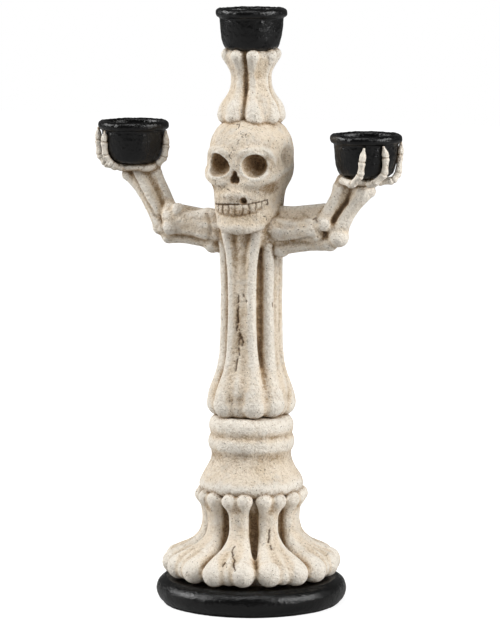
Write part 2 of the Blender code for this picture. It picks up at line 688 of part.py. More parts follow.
def build_fingers(side, cup_place, fingers, collection, bone):
    """Five fingers that hold a cup, each given as its direction round the cup and the drop of its tip."""
    for number, (direction, tip_drop) in enumerate(fingers):
        angle = math.radians(direction)
        root = Vector((math.sin(angle) * 0.0085, -math.cos(angle) * 0.0085, -0.0034))
        name = f"finger_{'left' if side > 0 else 'right'}_{number + 1}"
        add_block(name, finger_mesh(name, cup_place, direction, tip_drop, root), bone, collection)


def build_casting(figure, added, removed, finishes):
    """Joins every block into the one casting: the bone figure first, then the sharper parts and hollows."""
    bm = bmesh.new()
    bm.from_mesh(figure.objects["skirt_core"].data)
    mesh = bpy.data.meshes.new("candelabra_casting")
    bm.to_mesh(mesh)
    bm.free()
    for finish in finishes:
        mesh.materials.append(finish)
    casting = bpy.data.objects.new("candelabra_casting", mesh)
    bpy.context.scene.collection.objects.link(casting)
    combine(casting, "figure", "UNION", figure)
    skin = casting.modifiers.new("one_skin", "REMESH")
    skin.mode = "VOXEL"
    skin.voxel_size = FIGURE_GRAIN
    facets = casting.modifiers.new("even_facets", "DECIMATE")
    facets.ratio = FIGURE_FACET_SHARE
    combine(casting, "sharp_parts", "UNION", added)
    combine(casting, "hollows", "DIFFERENCE", removed)
    return casting


def combine(body, name, operation, blocks):
    """Adds or cuts every block of a collection. The exact solver leaves open edges where many knuckles meet."""
    step = body.modifiers.new(name, "BOOLEAN")
    step.operation = operation
    step.operand_type = "COLLECTION"
    step.collection = blocks
    step.solver = "MANIFOLD"


def main():
    for obj in list(bpy.data.objects):
        bpy.data.objects.remove(obj)
    bone = paint("bone_paint", BONE_COLOUR, 0.62)
    black = paint("black_paint", BLACK_COLOUR, 0.42)
    figure = bpy.data.collections.new("figure")
    added = bpy.data.collections.new("added")
    removed = bpy.data.collections.new("removed")
    build_base(added, black)
    build_skirt(figure, bone)
    build_pedestal(figure, bone)
    build_column(figure, bone)
    build_skull(figure, added, removed, bone)
    build_neck(figure, bone)
    top = neck_foot_height() + NECK_LENGTH - CUP_SEAT
    add_cup("cup_top", Vector((0, 0, top)), added, black)
    hands = (
        (-1, HAND_CUP_RISE_RIGHT, ((-38, 0.0025), (-76, 0.0), (-116, 0.0005), (-154, 0.002), (105, 0.001))),
        (1, HAND_CUP_RISE_LEFT, ((18, 0.004), (58, 0.0025), (104, 0.0), (144, 0.001), (-172, 0.002))),
    )
    for side, rise, fingers in hands:
        place = Vector((side * ARM_REACH, -ARM_FORWARD, rise))
        add_cup("cup_left" if side > 0 else "cup_right", place, added, black)
        build_arm(side, place, figure, bone)
        build_elbow(side, place, figure, bone)
        build_palm(side, place, figure, bone)
        build_fingers(side, place, fingers, added, bone)
    build_casting(figure, added, removed, (bone, black))


main()
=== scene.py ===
import math

import bmesh
import bpy
import numpy as np
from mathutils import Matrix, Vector
from mathutils.bvhtree import BVHTree


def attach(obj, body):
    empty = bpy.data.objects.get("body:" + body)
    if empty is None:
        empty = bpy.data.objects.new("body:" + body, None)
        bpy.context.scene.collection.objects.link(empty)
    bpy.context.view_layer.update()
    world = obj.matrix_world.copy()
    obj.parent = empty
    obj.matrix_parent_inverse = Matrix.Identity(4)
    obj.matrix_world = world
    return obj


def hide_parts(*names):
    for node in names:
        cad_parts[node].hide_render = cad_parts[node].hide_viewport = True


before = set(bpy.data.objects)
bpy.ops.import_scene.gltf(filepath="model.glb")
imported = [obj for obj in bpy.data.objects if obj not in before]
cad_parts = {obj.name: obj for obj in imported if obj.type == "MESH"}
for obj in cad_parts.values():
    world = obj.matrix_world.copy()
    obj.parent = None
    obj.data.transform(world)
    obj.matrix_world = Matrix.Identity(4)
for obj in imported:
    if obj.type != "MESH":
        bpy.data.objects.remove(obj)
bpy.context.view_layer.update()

# All sizes below are in millimetres, in the frame of the CAD: +Z up, the face towards -Y.
mm = 0.001
castingNode = "candelabra_casting"


# small helpers for working in code
def choose(*pieces):
    bpy.ops.object.select_all(action="DESELECT")
    for piece in pieces:
        piece.select_set(True)
    bpy.context.view_layer.objects.active = pieces[0]


def applyModifiers(piece):
    choose(piece)
    for modifier in list(piece.modifiers):
        bpy.ops.object.modifier_apply(modifier=modifier.name)


def drawPath(points, sizes, bevelSteps=4):
    # a bar along a smooth path; each size is the bar's radius there
    bpy.ops.curve.primitive_bezier_curve_add(location=(0, 0, 0))
    bar = bpy.context.object
    bar.data.bevel_depth = mm
    bar.data.bevel_resolution = bevelSteps
    bar.data.resolution_u = 6
    bar.data.use_fill_caps = True
    spline = bar.data.splines[0]
    spline.radius_interpolation = "CARDINAL"
    spline.bezier_points.add(len(points) - 2)
    for knot, point, size in zip(spline.bezier_points, points, sizes):
        knot.handle_left_type = knot.handle_right_type = "AUTO"
        knot.co = Vector(point) * mm
        knot.radius = size
    choose(bar)
    bpy.ops.object.convert(target="MESH")
    return bpy.context.object


def addKnob(centre, size, turn=(0, 0, 0)):
    # a rounded knuckle; the turn is in degrees
    size = (size, size, size) if isinstance(size, (int, float)) else size
    rotation = [math.radians(t) for t in turn]
    bpy.ops.mesh.primitive_ico_sphere_add(
        subdivisions=4, radius=mm, location=Vector(centre) * mm, rotation=rotation, scale=size
    )
    return bpy.context.object


def turnProfile(points, steps):
    # spins a profile (radius, height) about the upright axis
    bpy.ops.curve.primitive_nurbs_path_add(location=(0, 0, 0))
    path = bpy.context.object
    path.data.splines.clear()
    spline = path.data.splines.new("POLY")
    spline.points.add(len(points) - 1)
    for knot, (radius, height) in zip(spline.points, points):
        knot.co = (radius * mm, 0, height * mm, 1)
    choose(path)
    bpy.ops.object.convert(target="MESH")
    turned = bpy.context.object
    bpy.ops.object.mode_set(mode="EDIT")
    bpy.ops.mesh.select_all(action="SELECT")
    bpy.ops.mesh.spin(steps=steps, angle=2 * math.pi, center=(0, 0, 0), axis=(0, 0, 1))
    bpy.ops.mesh.select_all(action="SELECT")
    bpy.ops.mesh.remove_doubles(threshold=0.00001)
    bpy.ops.mesh.normals_make_consistent(inside=False)
    bpy.ops.object.mode_set(mode="OBJECT")
    return turned


def roundPath(points, steps=5):
    # fills a coarse profile with a smooth line through its points
    knots = [Vector((*point, 0)) for point in points]
    knots = [knots[0]] + knots + [knots[-1]]
    smooth = []
    for before, start, end, after in zip(knots, knots[1:], knots[2:], knots[3:]):
        for step in range(steps):
            t = step / steps
            bend = (end - before) * 0.5, (after - start) * 0.5
            point = (
                start * (2 * t**3 - 3 * t**2 + 1) + bend[0] * (t**3 - 2 * t**2 + t)
                + end * (3 * t**2 - 2 * t**3) + bend[1] * (t**3 - t**2)
            )
            smooth.append((max(point.x, 0), point.y))
    return smooth + [points[-1]]


def joinBlocks(name, blocks):
    choose(*blocks)
    bpy.ops.object.join()
    piece = bpy.context.object
    piece.name = piece.data.name = name
    bpy.ops.object.transform_apply(location=True, rotation=True, scale=True)
    return piece


def moulded(piece, *rounds):
    # one skin over all the blocks, softened as clay is before the mould is made
    # each round: the grain in mm and how often the skin is softened
    for grain, softening in rounds:
        skin = piece.modifiers.new("skin", "REMESH")
        skin.mode = "VOXEL"
        skin.voxel_size = grain * mm
        soften = piece.modifiers.new("soften", "SMOOTH")
        soften.factor = 0.5
        soften.iterations = softening
        applyModifiers(piece)


def cutWith(piece, cutters):
    # one cutter at a time, because the fast solver wants closed solids that don't cross
    for cutter in cutters:
        choose(cutter)
        bpy.ops.object.transform_apply(location=True, rotation=True, scale=True)
        cut = piece.modifiers.new("cut", "BOOLEAN")
        cut.operation = "DIFFERENCE"
        cut.object = cutter
        cut.solver = "MANIFOLD"
        applyModifiers(piece)
        bpy.data.objects.remove(cutter)


def turnedPoint(angle, sideways, outwards, height):
    # a point by its angle round the axis: 0 is the front, 90 the figure's left
    angle = math.radians(angle)
    return (
        outwards * math.sin(angle) + sideways * math.cos(angle),
        -outwards * math.cos(angle) + sideways * math.sin(angle),
        height,
    )


def bundledBones(angles, stations, lean=0.0, filling=0.94):
    # bones round the axis, each a broad body with two ridges that end in knuckles,
    # and a filling between the knuckles as a share of the body's size
    # each station: height; body outwards, size; ridges sideways, outwards, size
    blocks = []
    for number, angle in enumerate(angles):
        body = [turnedPoint(angle, 0, out, height) for height, out, *_ in stations]
        blocks.append(drawPath(body, [station[2] for station in stations]))
        blocks += [addKnob(body[end], stations[end][2] * filling) for end in (0, -1)]
        for side in (-1, 1):
            sway = lean * math.sin(number * 2.1 + side)
            ridge = [
                turnedPoint(angle, side * across + sway * math.sin(height * 0.05), out, height)
                for height, _, _, across, out, _ in stations
            ]
            blocks.append(drawPath(ridge, [station[5] for station in stations]))
            for place, station in ((ridge[0], stations[0]), (ridge[-1], stations[-1])):
                lift = 0.05 * station[5] * math.sin(number * 2.9 + side * 1.3)
                blocks.append(addKnob((place[0], place[1], place[2] + lift), station[5]))
    return blocks


def roughen(piece, name, pattern, size, depth, middle=0.5, detail=2, **settings):
    # lumps and pits in the cast surface; size and depth in mm
    texture = bpy.data.textures.new(name, pattern)
    texture.noise_scale = size * mm
    if hasattr(texture, "noise_depth"):
        texture.noise_depth = detail
    for key, value in settings.items():
        setattr(texture, key, value)
    lumps = piece.modifiers.new(name, "DISPLACE")
    lumps.texture = texture
    lumps.texture_coords = "LOCAL"
    lumps.strength = depth * mm
    lumps.mid_level = middle
    applyModifiers(piece)


def readMesh(piece):
    # the points in mm and the normals, as the wash and the cracks need them
    mesh = piece.data
    points = np.empty(len(mesh.vertices) * 3)
    mesh.vertices.foreach_get("co", points)
    normals = np.empty(len(mesh.vertices) * 3)
    mesh.vertices.foreach_get("normal", normals)
    return points.reshape(-1, 3) / mm, normals.reshape(-1, 3)


def storeShade(piece, name, values):
    shade = piece.data.attributes.get(name) or piece.data.attributes.new(name, "FLOAT", "POINT")
    shade.data.foreach_set("value", np.clip(values, 0, 1).astype(np.float32))


def readShade(piece, name):
    values = np.zeros(len(piece.data.vertices), dtype=np.float32)
    if name in piece.data.attributes:
        piece.data.attributes[name].data.foreach_get("value", values)
    return values


def carve(piece, path, width, depth, jag=0.5, seed=1, shade=1.0):
    # a groove or a jagged split in the surface, with dark paint left in it; in the creases between bones and finger
    # joints that dark paint is painted shade
    rng = np.random.default_rng(seed)
    path = np.array([list(point) for point in path], dtype=float)
    line = [path[0]]
    for start, end in zip(path, path[1:]):
        steps = max(1, int(np.linalg.norm(end - start) / 1.2))
        for step in range(1, steps + 1):
            line.append(start + (end - start) * step / steps + rng.normal(0, jag * 0.5, 3))
    line = np.array(line)
    points, normals = readMesh(piece)
    near = np.where(((points > line.min(0) - 2) & (points < line.max(0) + 2)).all(1))[0]
    best = np.full(len(near), 99.0)
    for start, end in zip(line, line[1:]):
        along = end - start
        share = np.clip(((points[near] - start) @ along) / max(along @ along, 1e-6), 0, 1)
        best = np.minimum(best, np.linalg.norm(points[near] - start - share[:, None] * along, axis=1))
    fall = np.clip(1 - best / width, 0, 1)
    points[near] -= normals[near] * (fall * depth)[:, None]
    piece.data.vertices.foreach_set("co", (points * mm).ravel())
    crackPaintAndCreaseShade = readShade(piece, "crackPaintAndCreaseShade")
    crackPaintAndCreaseShade[near] = np.maximum(crackPaintAndCreaseShade[near], np.clip(fall * 1.5, 0, 1) * shade)
    storeShade(piece, "crackPaintAndCreaseShade", crackPaintAndCreaseShade)
    piece.data.update()


def pooledWashAndShade(piece, centre, size, amount):
    # brown wash and painted shade pooled in a hollow, inside an egg of three half sizes
    points, _ = readMesh(piece)
    inside = np.linalg.norm((points - np.array(centre)) / np.array(size), axis=1)
    pooled = np.clip(1.5 - 1.5 * inside, 0, 1) * amount
    storeShade(piece, "pooledWashAndShade", np.maximum(readShade(piece, "pooledWashAndShade"), pooled))


def averaged(piece, values, rounds):
    # spreads values over the neighbouring points of the mesh
    edges = np.empty(len(piece.data.edges) * 2, dtype=np.int64)
    piece.data.edges.foreach_get("vertices", edges)
    first, second = edges.reshape(-1, 2).T
    count = len(piece.data.vertices)
    neighbours = np.maximum(np.bincount(first, minlength=count) + np.bincount(second, minlength=count), 1)
    for _ in range(rounds):
        around = np.bincount(first, weights=values[second], minlength=count)
        around += np.bincount(second, weights=values[first], minlength=count)
        values = values * 0.4 + 0.6 * around / neighbours
    return values


def hollowness(piece, rounds):
    # how far each point lies under the surface averaged around it, in mm
    points, normals = readMesh(piece)
    smooth = np.stack([averaged(piece, points[:, axis], rounds) for axis in range(3)], 1)
    return ((smooth - points) * normals).sum(1)


washAndShading = {
    "broad": 50,  # rounds of averaging that find the wide hollows
    "fine": 7,  # and those that find the narrow creases
    "reach": 4,  # mm, how far the wash and painted shade stand off a neighbouring piece
    "spread": 12,  # rounds that soften the edge of the wash and painted shade
}


def washAndShadeCreases(piece, others):
    # brown wash with painted shade in the creases and hollows, against the neighbouring pieces, on faces turned
    # downwards and in the pooled hollows
    broad = hollowness(piece, washAndShading["broad"])
    fine = hollowness(piece, washAndShading["fine"])
    reach = washAndShading["reach"]
    points, normals = readMesh(piece)
    low, high = points.min(0) - reach, points.max(0) + reach
    seam = np.zeros(len(points))
    for other, tree in others.items():
        corners = np.array([list(corner) for corner in other.bound_box]) / mm
        if other is piece or (corners.max(0) < low).any() or (corners.min(0) > high).any():
            continue
        within = (points > corners.min(0) - reach) & (points < corners.max(0) + reach)
        for i in np.where(within.all(1))[0]:
            gap = tree.find_nearest(Vector(points[i]) * mm, reach * mm)[3]
            if gap is not None:
                seam[i] = max(seam[i], 1 - gap / (reach * mm))
    # the wide hollows, the narrow creases and the seams against neighbouring pieces take brown wash and painted shade
    washAndShade = np.clip(broad * 0.72 - 0.03, 0, 0.85) + np.clip(fine * 3.0, 0, 0.4) + seam**2 * 0.75
    # faces turned downwards are darkened: painted shade under overhangs
    washAndShade += np.clip(-normals[:, 2] - 0.45, 0, 1) * 0.4
    storeShade(piece, "washAndShade", averaged(piece, washAndShade, washAndShading["spread"]) + readShade(piece, "pooledWashAndShade"))
    # raised parts are lighter: dry-brushed paint that also serves as painted highlight
    storeShade(piece, "rubAndHighlight", averaged(piece, np.clip(-broad * 0.9 - 0.05, 0, 1), 4))


basePlinth = {
    "radius": 69.0,
    "height": 19.5,
    "flat": 62.5,
    "steps": 200,
    "moulding": ((0.95, 3),),
    "ground": 0.3,  # taken off the underside
    "lumps": (14, 0.7),  # size and depth
    "brush": (3.2, 0.38),
}


def makeBase():
    radius, height, flat = basePlinth["radius"], basePlinth["height"], basePlinth["flat"]
    profile = roundPath(
        [(0, 0), (flat - 3, 0), (flat, 0.3), (radius - 2.2, 3.6), (radius, 9.6), (radius - 1.8, 15.4),
         (flat, height - 0.8), (flat - 5, height), (0, height)]
    )
    base = joinBlocks("baseDisc", [turnProfile(profile, basePlinth["steps"])])
    moulded(base, *basePlinth["moulding"])
    roughen(base, "baseLumps", "CLOUDS", *basePlinth["lumps"], detail=1)
    roughen(base, "baseBrush", "CLOUDS", *basePlinth["brush"], detail=3)
    ground = basePlinth["ground"] * mm
    # the underside is ground flat
    bpy.ops.object.mode_set(mode="EDIT")
    bpy.ops.mesh.select_all(action="SELECT")
    bpy.ops.mesh.bisect(
        plane_co=(0, 0, ground), plane_no=(0, 0, 1), clear_inner=True, use_fill=True, threshold=0.001 * mm
    )
    bpy.ops.mesh.select_all(action="SELECT")
    bpy.ops.transform.translate(value=(0, 0, -ground))
    bpy.ops.object.mode_set(mode="OBJECT")
    return base


skirt = {
    "bones": 9,
    "turn": 4.5,
    "moulding": ((1.1, 3), (0.9, 1)),
    # height; body outwards, size; ridges sideways, outwards, size
    "stations": (
        (78.4, 32.6, 4.8, 5.6, 34.9, 6.0), (74.0, 32.0, 5.6, 4.3, 33.2, 5.0), (69, 30.6, 6.4, 2.8, 31.2, 4.9),
        (62, 29.6, 6.4, 2.2, 30.2, 5.2), (54, 30.2, 6.6, 2.2, 30.6, 5.3), (46, 33.2, 7.0, 3.4, 33.6, 6.0),
        (40, 38.4, 7.6, 5.2, 38.8, 6.9), (35.5, 43.8, 8.4, 7.4, 44.2, 7.9), (31.8, 49.4, 9.2, 9.2, 50.2, 8.8),
        (29.0, 53.8, 8.9, 10.2, 54.9, 9.2),
    ),
    "core": (
        (0, 18), (44, 18), (43.5, 22), (41.5, 26), (38.5, 30.5), (34.8, 36.4), (30.5, 44), (27.6, 52), (26.4, 60),
        (25.5, 80), (0, 80),
    ),
    "cracks": (
        ((2.2, -43.4, 44.1), (7.0, -51.0, 39.3), (8.2, -56.0, 35.9), (11.0, -61.3, 33.5)),
        ((1.2, -53.8, 37.9), (0.5, -56.7, 35.5)),
        ((24.0, -26.6, 57.6), (24.2, -27.8, 52.0), (24.1, -29.5, 49.4)), ((25.9, -30.2, 47.5), (28.1, -32.1, 45.1)),
        ((3.0, -40.7, 47.1), (2.0, -42.9, 45.2)),
    ),
    "crack": {"width": 1.1, "depth": 1.0, "jag": 0.6, "shade": 0.9},
    # painted shadow below the heads: how far out, height, half sizes and amount
    "headShadow": (37, 71.5, (6, 5, 3.6), 0.3),
}


def makeSkirt():
    angles = [skirt["turn"] + 360 / skirt["bones"] * number for number in range(skirt["bones"])]
    blocks = bundledBones([a + 0.5 * math.sin(a) for a in angles], skirt["stations"])
    blocks.append(turnProfile(roundPath(skirt["core"], 3), 90))
    piece = joinBlocks("skirtBones", blocks)
    moulded(piece, *skirt["moulding"])
    find = surfaceFinder(piece)
    for number, path in enumerate(skirt["cracks"]):
        onSurface = [find(math.degrees(math.atan2(x, -y)), z) for x, y, z in path]
        carve(piece, onSurface, seed=number, **skirt["crack"])
    # painted shadow below each bone's head
    out, height, size, amount = skirt["headShadow"]
    for angle in angles:
        pooledWashAndShade(piece, turnedPoint(angle, 0, out, height), size, amount)
    return piece


pedestal = {
    "moulding": ((0.9, 3),),
    "lumps": (16, 1.0),
    "profile": (
        (0, 79), (26, 79), (31.5, 80.4), (35.6, 82.2), (37.7, 85.4), (37.4, 89.0), (35.2, 93.4), (32.2, 98),
        (30.0, 102.4), (28.9, 106.4), (28.8, 109.4), (29.4, 111.4), (30.7, 113.4), (31.3, 117.0), (30.9, 120.2),
        (29.7, 122.6), (29.6, 124.0), (30.4, 126.2), (30.7, 129.4), (30.1, 132.8), (28.2, 135.2), (24, 136.6),
        (0, 137.5),
    ),
}


def makePedestal():
    piece = joinBlocks("turnedCollar", [turnProfile(roundPath(pedestal["profile"], 4), 160)])
    moulded(piece, *pedestal["moulding"])
    roughen(piece, "collarLumps", "CLOUDS", *pedestal["lumps"], detail=1)
    return piece


column = {
    "angles": (-2, 86, 176, 266),
    "moulding": ((1.2, 3), (0.85, 1)),
    "stations": (
        (274, 9.4, 9.4, 11.8, 16.4, 4.6), (267, 10.0, 9.4, 10.8, 16.8, 4.6), (258, 11.0, 9.4, 8.8, 17.0, 4.3),
        (248, 11.4, 9.5, 7.7, 17.1, 4.2), (236, 11.5, 9.5, 7.3, 17.1, 4.1), (215, 11.6, 9.5, 7.1, 17.1, 4.1),
        (195, 11.8, 9.5, 7.1, 17.1, 4.4), (180, 12.4, 9.8, 7.2, 17.1, 5.1), (168, 13.6, 11.2, 7.7, 17.4, 6.8),
        (158, 15.2, 12.8, 8.8, 18.5, 8.7), (151, 16.0, 12.8, 9.7, 19.6, 9.6), (146, 17.6, 11.4, 10.1, 20.0, 9.9),
    ),
    "core": 15.5,
    # turn from the front and height
    "cracks": (
        ((-5.5, 225.5), (-6.5, 220)), ((-5.4, 217.5), (-7.6, 210.7), (-5.1, 205.7)), ((-8.0, 203.5), (-9.2, 199.8)),
        ((-4.5, 201), (-2.4, 197.8), (-4.3, 192.7), (-6.2, 190)), ((-4.8, 187.6), (-2.4, 181.9)),
        ((-1.3, 197.8), (2.9, 193.6), (4.2, 189.9)), ((-6.5, 208), (-9.5, 205)),
        ((5.0, 226.1), (5.5, 225.2)), ((11.1, 221.9), (11.6, 220.8)), ((64.1, 219.8), (63.9, 217.8)),
        ((-6, 180), (-8, 176), (-7, 172)),
    ),
    "crack": {"width": 1.1, "depth": 1.2, "jag": 0.8, "shade": 0.78},
    # brown wash and painted shade pooled on the front bone: centre, half sizes and amount
    "washAndShadePools": (((-1, -20, 264), (10, 6, 22), 0.25), ((-2, -20, 203), (4, 5, 26), 0.25)),
}


def makeColumn():
    blocks = bundledBones(column["angles"], column["stations"], lean=0.5)
    blocks.append(turnProfile([(0, 137), (column["core"], 137), (column["core"], 274), (0, 274)], 48))
    piece = joinBlocks("columnBones", blocks)
    moulded(piece, *column["moulding"])
    find = surfaceFinder(piece)
    for number, path in enumerate(column["cracks"]):
        carve(piece, [find(turn, height) for turn, height in path], seed=number, **column["crack"])
    # brown wash and painted shade pooled on the front of the column
    for centre, size, amount in column["washAndShadePools"]:
        pooledWashAndShade(piece, centre, size, amount)
    return piece


neck = {
    "angles": (49, 139, 229, 319),
    "moulding": ((1.0, 2), (0.75, 1)),
    "stations": (
        (353.3, 14.2, 8.2, 6.3, 16.6, 7.0), (358, 13.6, 8.4, 6.0, 15.8, 6.8), (364, 11.0, 7.6, 5.0, 13.0, 5.6),
        (371, 8.4, 6.8, 4.1, 10.9, 4.5), (378, 7.7, 6.3, 3.8, 10.1, 4.1), (385, 8.0, 6.3, 4.2, 10.5, 4.0),
        (391, 10.3, 6.2, 5.4, 12.8, 4.3), (396.6, 12.8, 5.8, 6.9, 15.6, 4.7),
    ),
    "core": ((0, 344), (15, 344), (15.5, 354), (11.5, 366), (9.6, 378), (10.5, 388), (14, 397), (14, 401), (0, 401)),
    # brown wash and painted shade in the front hollow between the neck bones: centre, half sizes and amount
    "pooledWashAndShade": ((0.6, -9, 378), (4.5, 7, 15), 0.9),
}


def makeNeck():
    blocks = bundledBones(neck["angles"], neck["stations"], lean=0.3)
    blocks.append(turnProfile(roundPath(neck["core"], 3), 60))
    piece = joinBlocks("neckBones", blocks)
    moulded(piece, *neck["moulding"])
    # brown wash and painted shade in the front hollow of the neck
    pooledWashAndShade(piece, *neck["pooledWashAndShade"])
    return piece


cups = {
    "moulding": ((0.9, 2),),
    "lumps": (19, 1.3),
    "brush": (3.4, 0.7),
    # where each cup stands, and how far it is turned so that no two have the same lumps
    "places": {"top": ((0, 0, 399.3), 0), "right": ((-89, -6, 317.0), 130), "left": ((89, -6, 312.5), 245)},
    # up the outside, over the rim and down into the well
    "profile": (
        (0, 0), (14.0, 0.1), (17.2, 0.9), (19.6, 3.2), (21.0, 7.2), (21.9, 12.0), (22.6, 17.5), (22.9, 22.2),
        (22.9, 24.0), (24.8, 24.5), (25.6, 26.5), (25.3, 28.9), (23.7, 30.5), (21.7, 30.3), (20.6, 28.6),
        (20.4, 25), (20.2, 14), (19.4, 10), (17.0, 7.4), (13, 7.0), (0, 7.0),
    ),
}


def makeCups():
    made = []
    for label, (place, turn) in cups["places"].items():
        piece = joinBlocks(f"cup{label.capitalize()}", [turnProfile(roundPath(cups["profile"], 4), 120)])
        moulded(piece, *cups["moulding"])
        piece.rotation_euler = (0, 0, math.radians(turn))
        bpy.ops.object.transform_apply(location=True, rotation=True, scale=True)
        roughen(piece, f"{label}CupShape", "CLOUDS", *cups["lumps"], detail=1)
        roughen(piece, f"{label}CupBrush", "CLOUDS", *cups["brush"], detail=3)
        piece.location = Vector(place) * mm
        bpy.ops.object.transform_apply(location=True, rotation=True, scale=True)
        made.append(piece)
    return made


skull = {
    # after the mass, the temples, the rims, the hollows and the lost tooth
    "moulding": ((1.0, 3), (0.8, 5), (0.7, 3), (0.55, 2), (0.55, 1)),
    "chin": 272.0,
    "height": 83.0,
    # share of the height, half width, reach to the front and to the back, squareness
    "levels": (
        (0.000, 14.0, 26.6, 8.0, 2.1), (0.025, 18.6, 30.5, 12.0, 2.3), (0.085, 22.0, 32.6, 15.0, 2.4),
        (0.170, 23.6, 33.0, 13.0, 2.4), (0.265, 24.0, 33.7, 16.5, 2.4), (0.345, 24.4, 33.4, 22.5, 2.4),
        (0.405, 26.6, 33.2, 29.0, 2.5), (0.460, 28.6, 33.4, 33.0, 2.3), (0.520, 29.6, 33.4, 35.4, 2.1),
        (0.600, 30.1, 33.9, 37.0, 1.85), (0.700, 30.6, 35.3, 37.0, 1.74), (0.790, 28.8, 34.3, 35.2, 1.76),
        (0.870, 24.5, 29.9, 30.8, 1.85), (0.940, 17.8, 22.1, 22.3, 2.0), (0.985, 8.9, 11.1, 11.2, 2.0),
    ),
    # turn from the front, share of the height, size, how far it stands out of the mass
    "brow": (
        (4, 0.665, 2.8, 0.0), (14, 0.696, 3.4, 0.7), (27, 0.712, 3.6, 1.3), (40, 0.702, 3.5, 1.5),
        (48, 0.678, 3.5, 1.4), (53, 0.636, 3.5, 1.1), (55, 0.585, 3.5, 0.8), (54, 0.530, 3.6, 0.5),
        (50, 0.480, 3.8, 0.3),
    ),
    "cheek": (
        (12, 0.425, 3.0, -0.4), (24, 0.430, 4.0, 0.9), (40, 0.455, 4.6, 1.6), (54, 0.484, 4.6, 1.4),
        (70, 0.520, 3.8, 0.8), (88, 0.545, 3.0, 0.2), (108, 0.565, 2.6, -0.4),
    ),
    "nasal": ((0, 0.640, 2.6, 0.2), (0, 0.580, 2.4, 0.4), (2, 0.540, 2.2, 0.2)),
    "upperJaw": (
        (-40, 0.300, 4.2, -1.2), (-20, 0.315, 4.6, -0.8), (0, 0.320, 4.8, -0.4), (20, 0.315, 4.6, -0.8),
        (40, 0.300, 4.2, -1.2),
    ),
    "chinRim": (
        (-52, 0.070, 4.6, -0.8), (-34, 0.052, 5.0, -0.2), (-14, 0.044, 5.4, 0.5), (0, 0.042, 5.6, 0.8),
        (14, 0.044, 5.4, 0.5), (34, 0.052, 5.0, -0.2), (52, 0.070, 4.6, -0.8),
    ),
    "socket": {"centre": (13.9, -30.4, 319.8), "size": (9.2, 12.0, 8.4), "turn": 14},
    # the right eye's socket is cut a little wider towards the nose
    "widerSocket": ((-12.2, -31.0, 318.8), (9.0, 9.0, 7.4), (0, 0, -6)),
    # the rim: turn of its middle, its reach to both sides, its half height, its size and how deep it sinks
    "rim": {"turn": 25.2, "reach": 18.0, "height": 9.4, "size": 2.5, "sunk": 1.5},
    # a filling behind the outer rim, so that the socket has a whole wall
    "outerRim": (50, 0.577, -3.4, (5.0, 5.0, 8.6)),
    "temple": {"centre": (42.4, -6.0, 325.5), "size": (16.8, 15.6, 12.6), "turn": 12},
    "jawHollow": {"centre": (33.6, -16.0, 300.5), "size": (9.6, 12.5, 7.4), "turn": 30},
    # x, y, z and the three half sizes
    "nose": (
        (-1.6, -35.0, 309.6, 2.2, 6.6, 3.0), (1.6, -35.0, 309.6, 2.2, 6.6, 3.0), (0.0, -35.0, 312.4, 2.1, 6.6, 4.2),
    ),
    "lostTooth": (6.6, -34.0, 294.7, 2.4, 4.4, 2.4),
    "bite": ((-46, 291.0), (-30, 291.3), (-15, 291.7), (0, 292.0), (15, 292.5), (30, 293.6), (46, 295.4)),
    # turn, height, how many
    "pits": (
        (-2, 348, 2), (3, 343.6, 2), (8, 341.8, 4), (14, 341.2, 3), (19, 342.0, 2), (6, 337.6, 2), (-2, 332, 3),
        (-24, 306, 3), (-14, 302, 3),
    ),
    "cracks": (
        ((-1, 349), (1, 347.4), (0, 346)), ((38, 283.4), (43, 282.6), (44, 280.4)), ((-9, 303.0), (-6, 302.0)),
        ((-3, 329.5), (-5, 327), (-4, 324.5)), ((-21, 304.8), (-19.5, 304.0)),
    ),
    "toothTurn": 8.8,
    "upperRoot": 6.6,
    "lowerRoot": 8.4,
    "gumBend": 0.0030,  # how fast the lower gum line climbs towards the sides
    # brown wash and painted shade in both sockets, below the cheekbones and beside the nose: centre, half sizes and
    # amount
    "sideWashAndShade": (
        ((13.9, -24.4, 321.3), (11, 10, 10), 0.75), ((14.9, -21.4, 322.8), (8, 8, 7), 1.0),
        ((25, -21, 303.0), (12, 12, 6.5), 0.6), ((8, -34, 317.5), (3.5, 4, 5), 0.3),
    ),
    # and in the nose, round both rows of teeth and where a tooth is gone
    "middleWashAndShade": (
        ((0, -31, 310.5), (5, 5, 6.5), 1.1), ((0, -30, 286.5), (26, 14, 6.5), 0.34),
        ((0, -30, 297.5), (26, 14, 5), 0.2), ((6.6, -34.0, 294.7), (3.4, 4.5, 3.4), 1.6),
    ),
}


def skullPoint(turn, share, proud=0.0):
    # a point on the outline of the skull's mass, or as far out of it as told
    levels = skull["levels"]
    upper = next((i for i, level in enumerate(levels) if level[0] >= share), len(levels) - 1)
    lower = max(upper - 1, 0)
    mix = (share - levels[lower][0]) / ((levels[upper][0] - levels[lower][0]) or 1.0)
    _, half, front, back, square = (a + (b - a) * mix for a, b in zip(levels[lower], levels[upper]))
    across, along = math.sin(math.radians(turn)), -math.cos(math.radians(turn))
    reach = (abs(across) ** square + abs(along) ** square) ** (-1 / square)
    point = Vector((half * across * reach, (front if along < 0 else back) * along * reach, 0))
    return point + point.normalized() * proud + Vector((0, 0, skull["chin"] + skull["height"] * share))


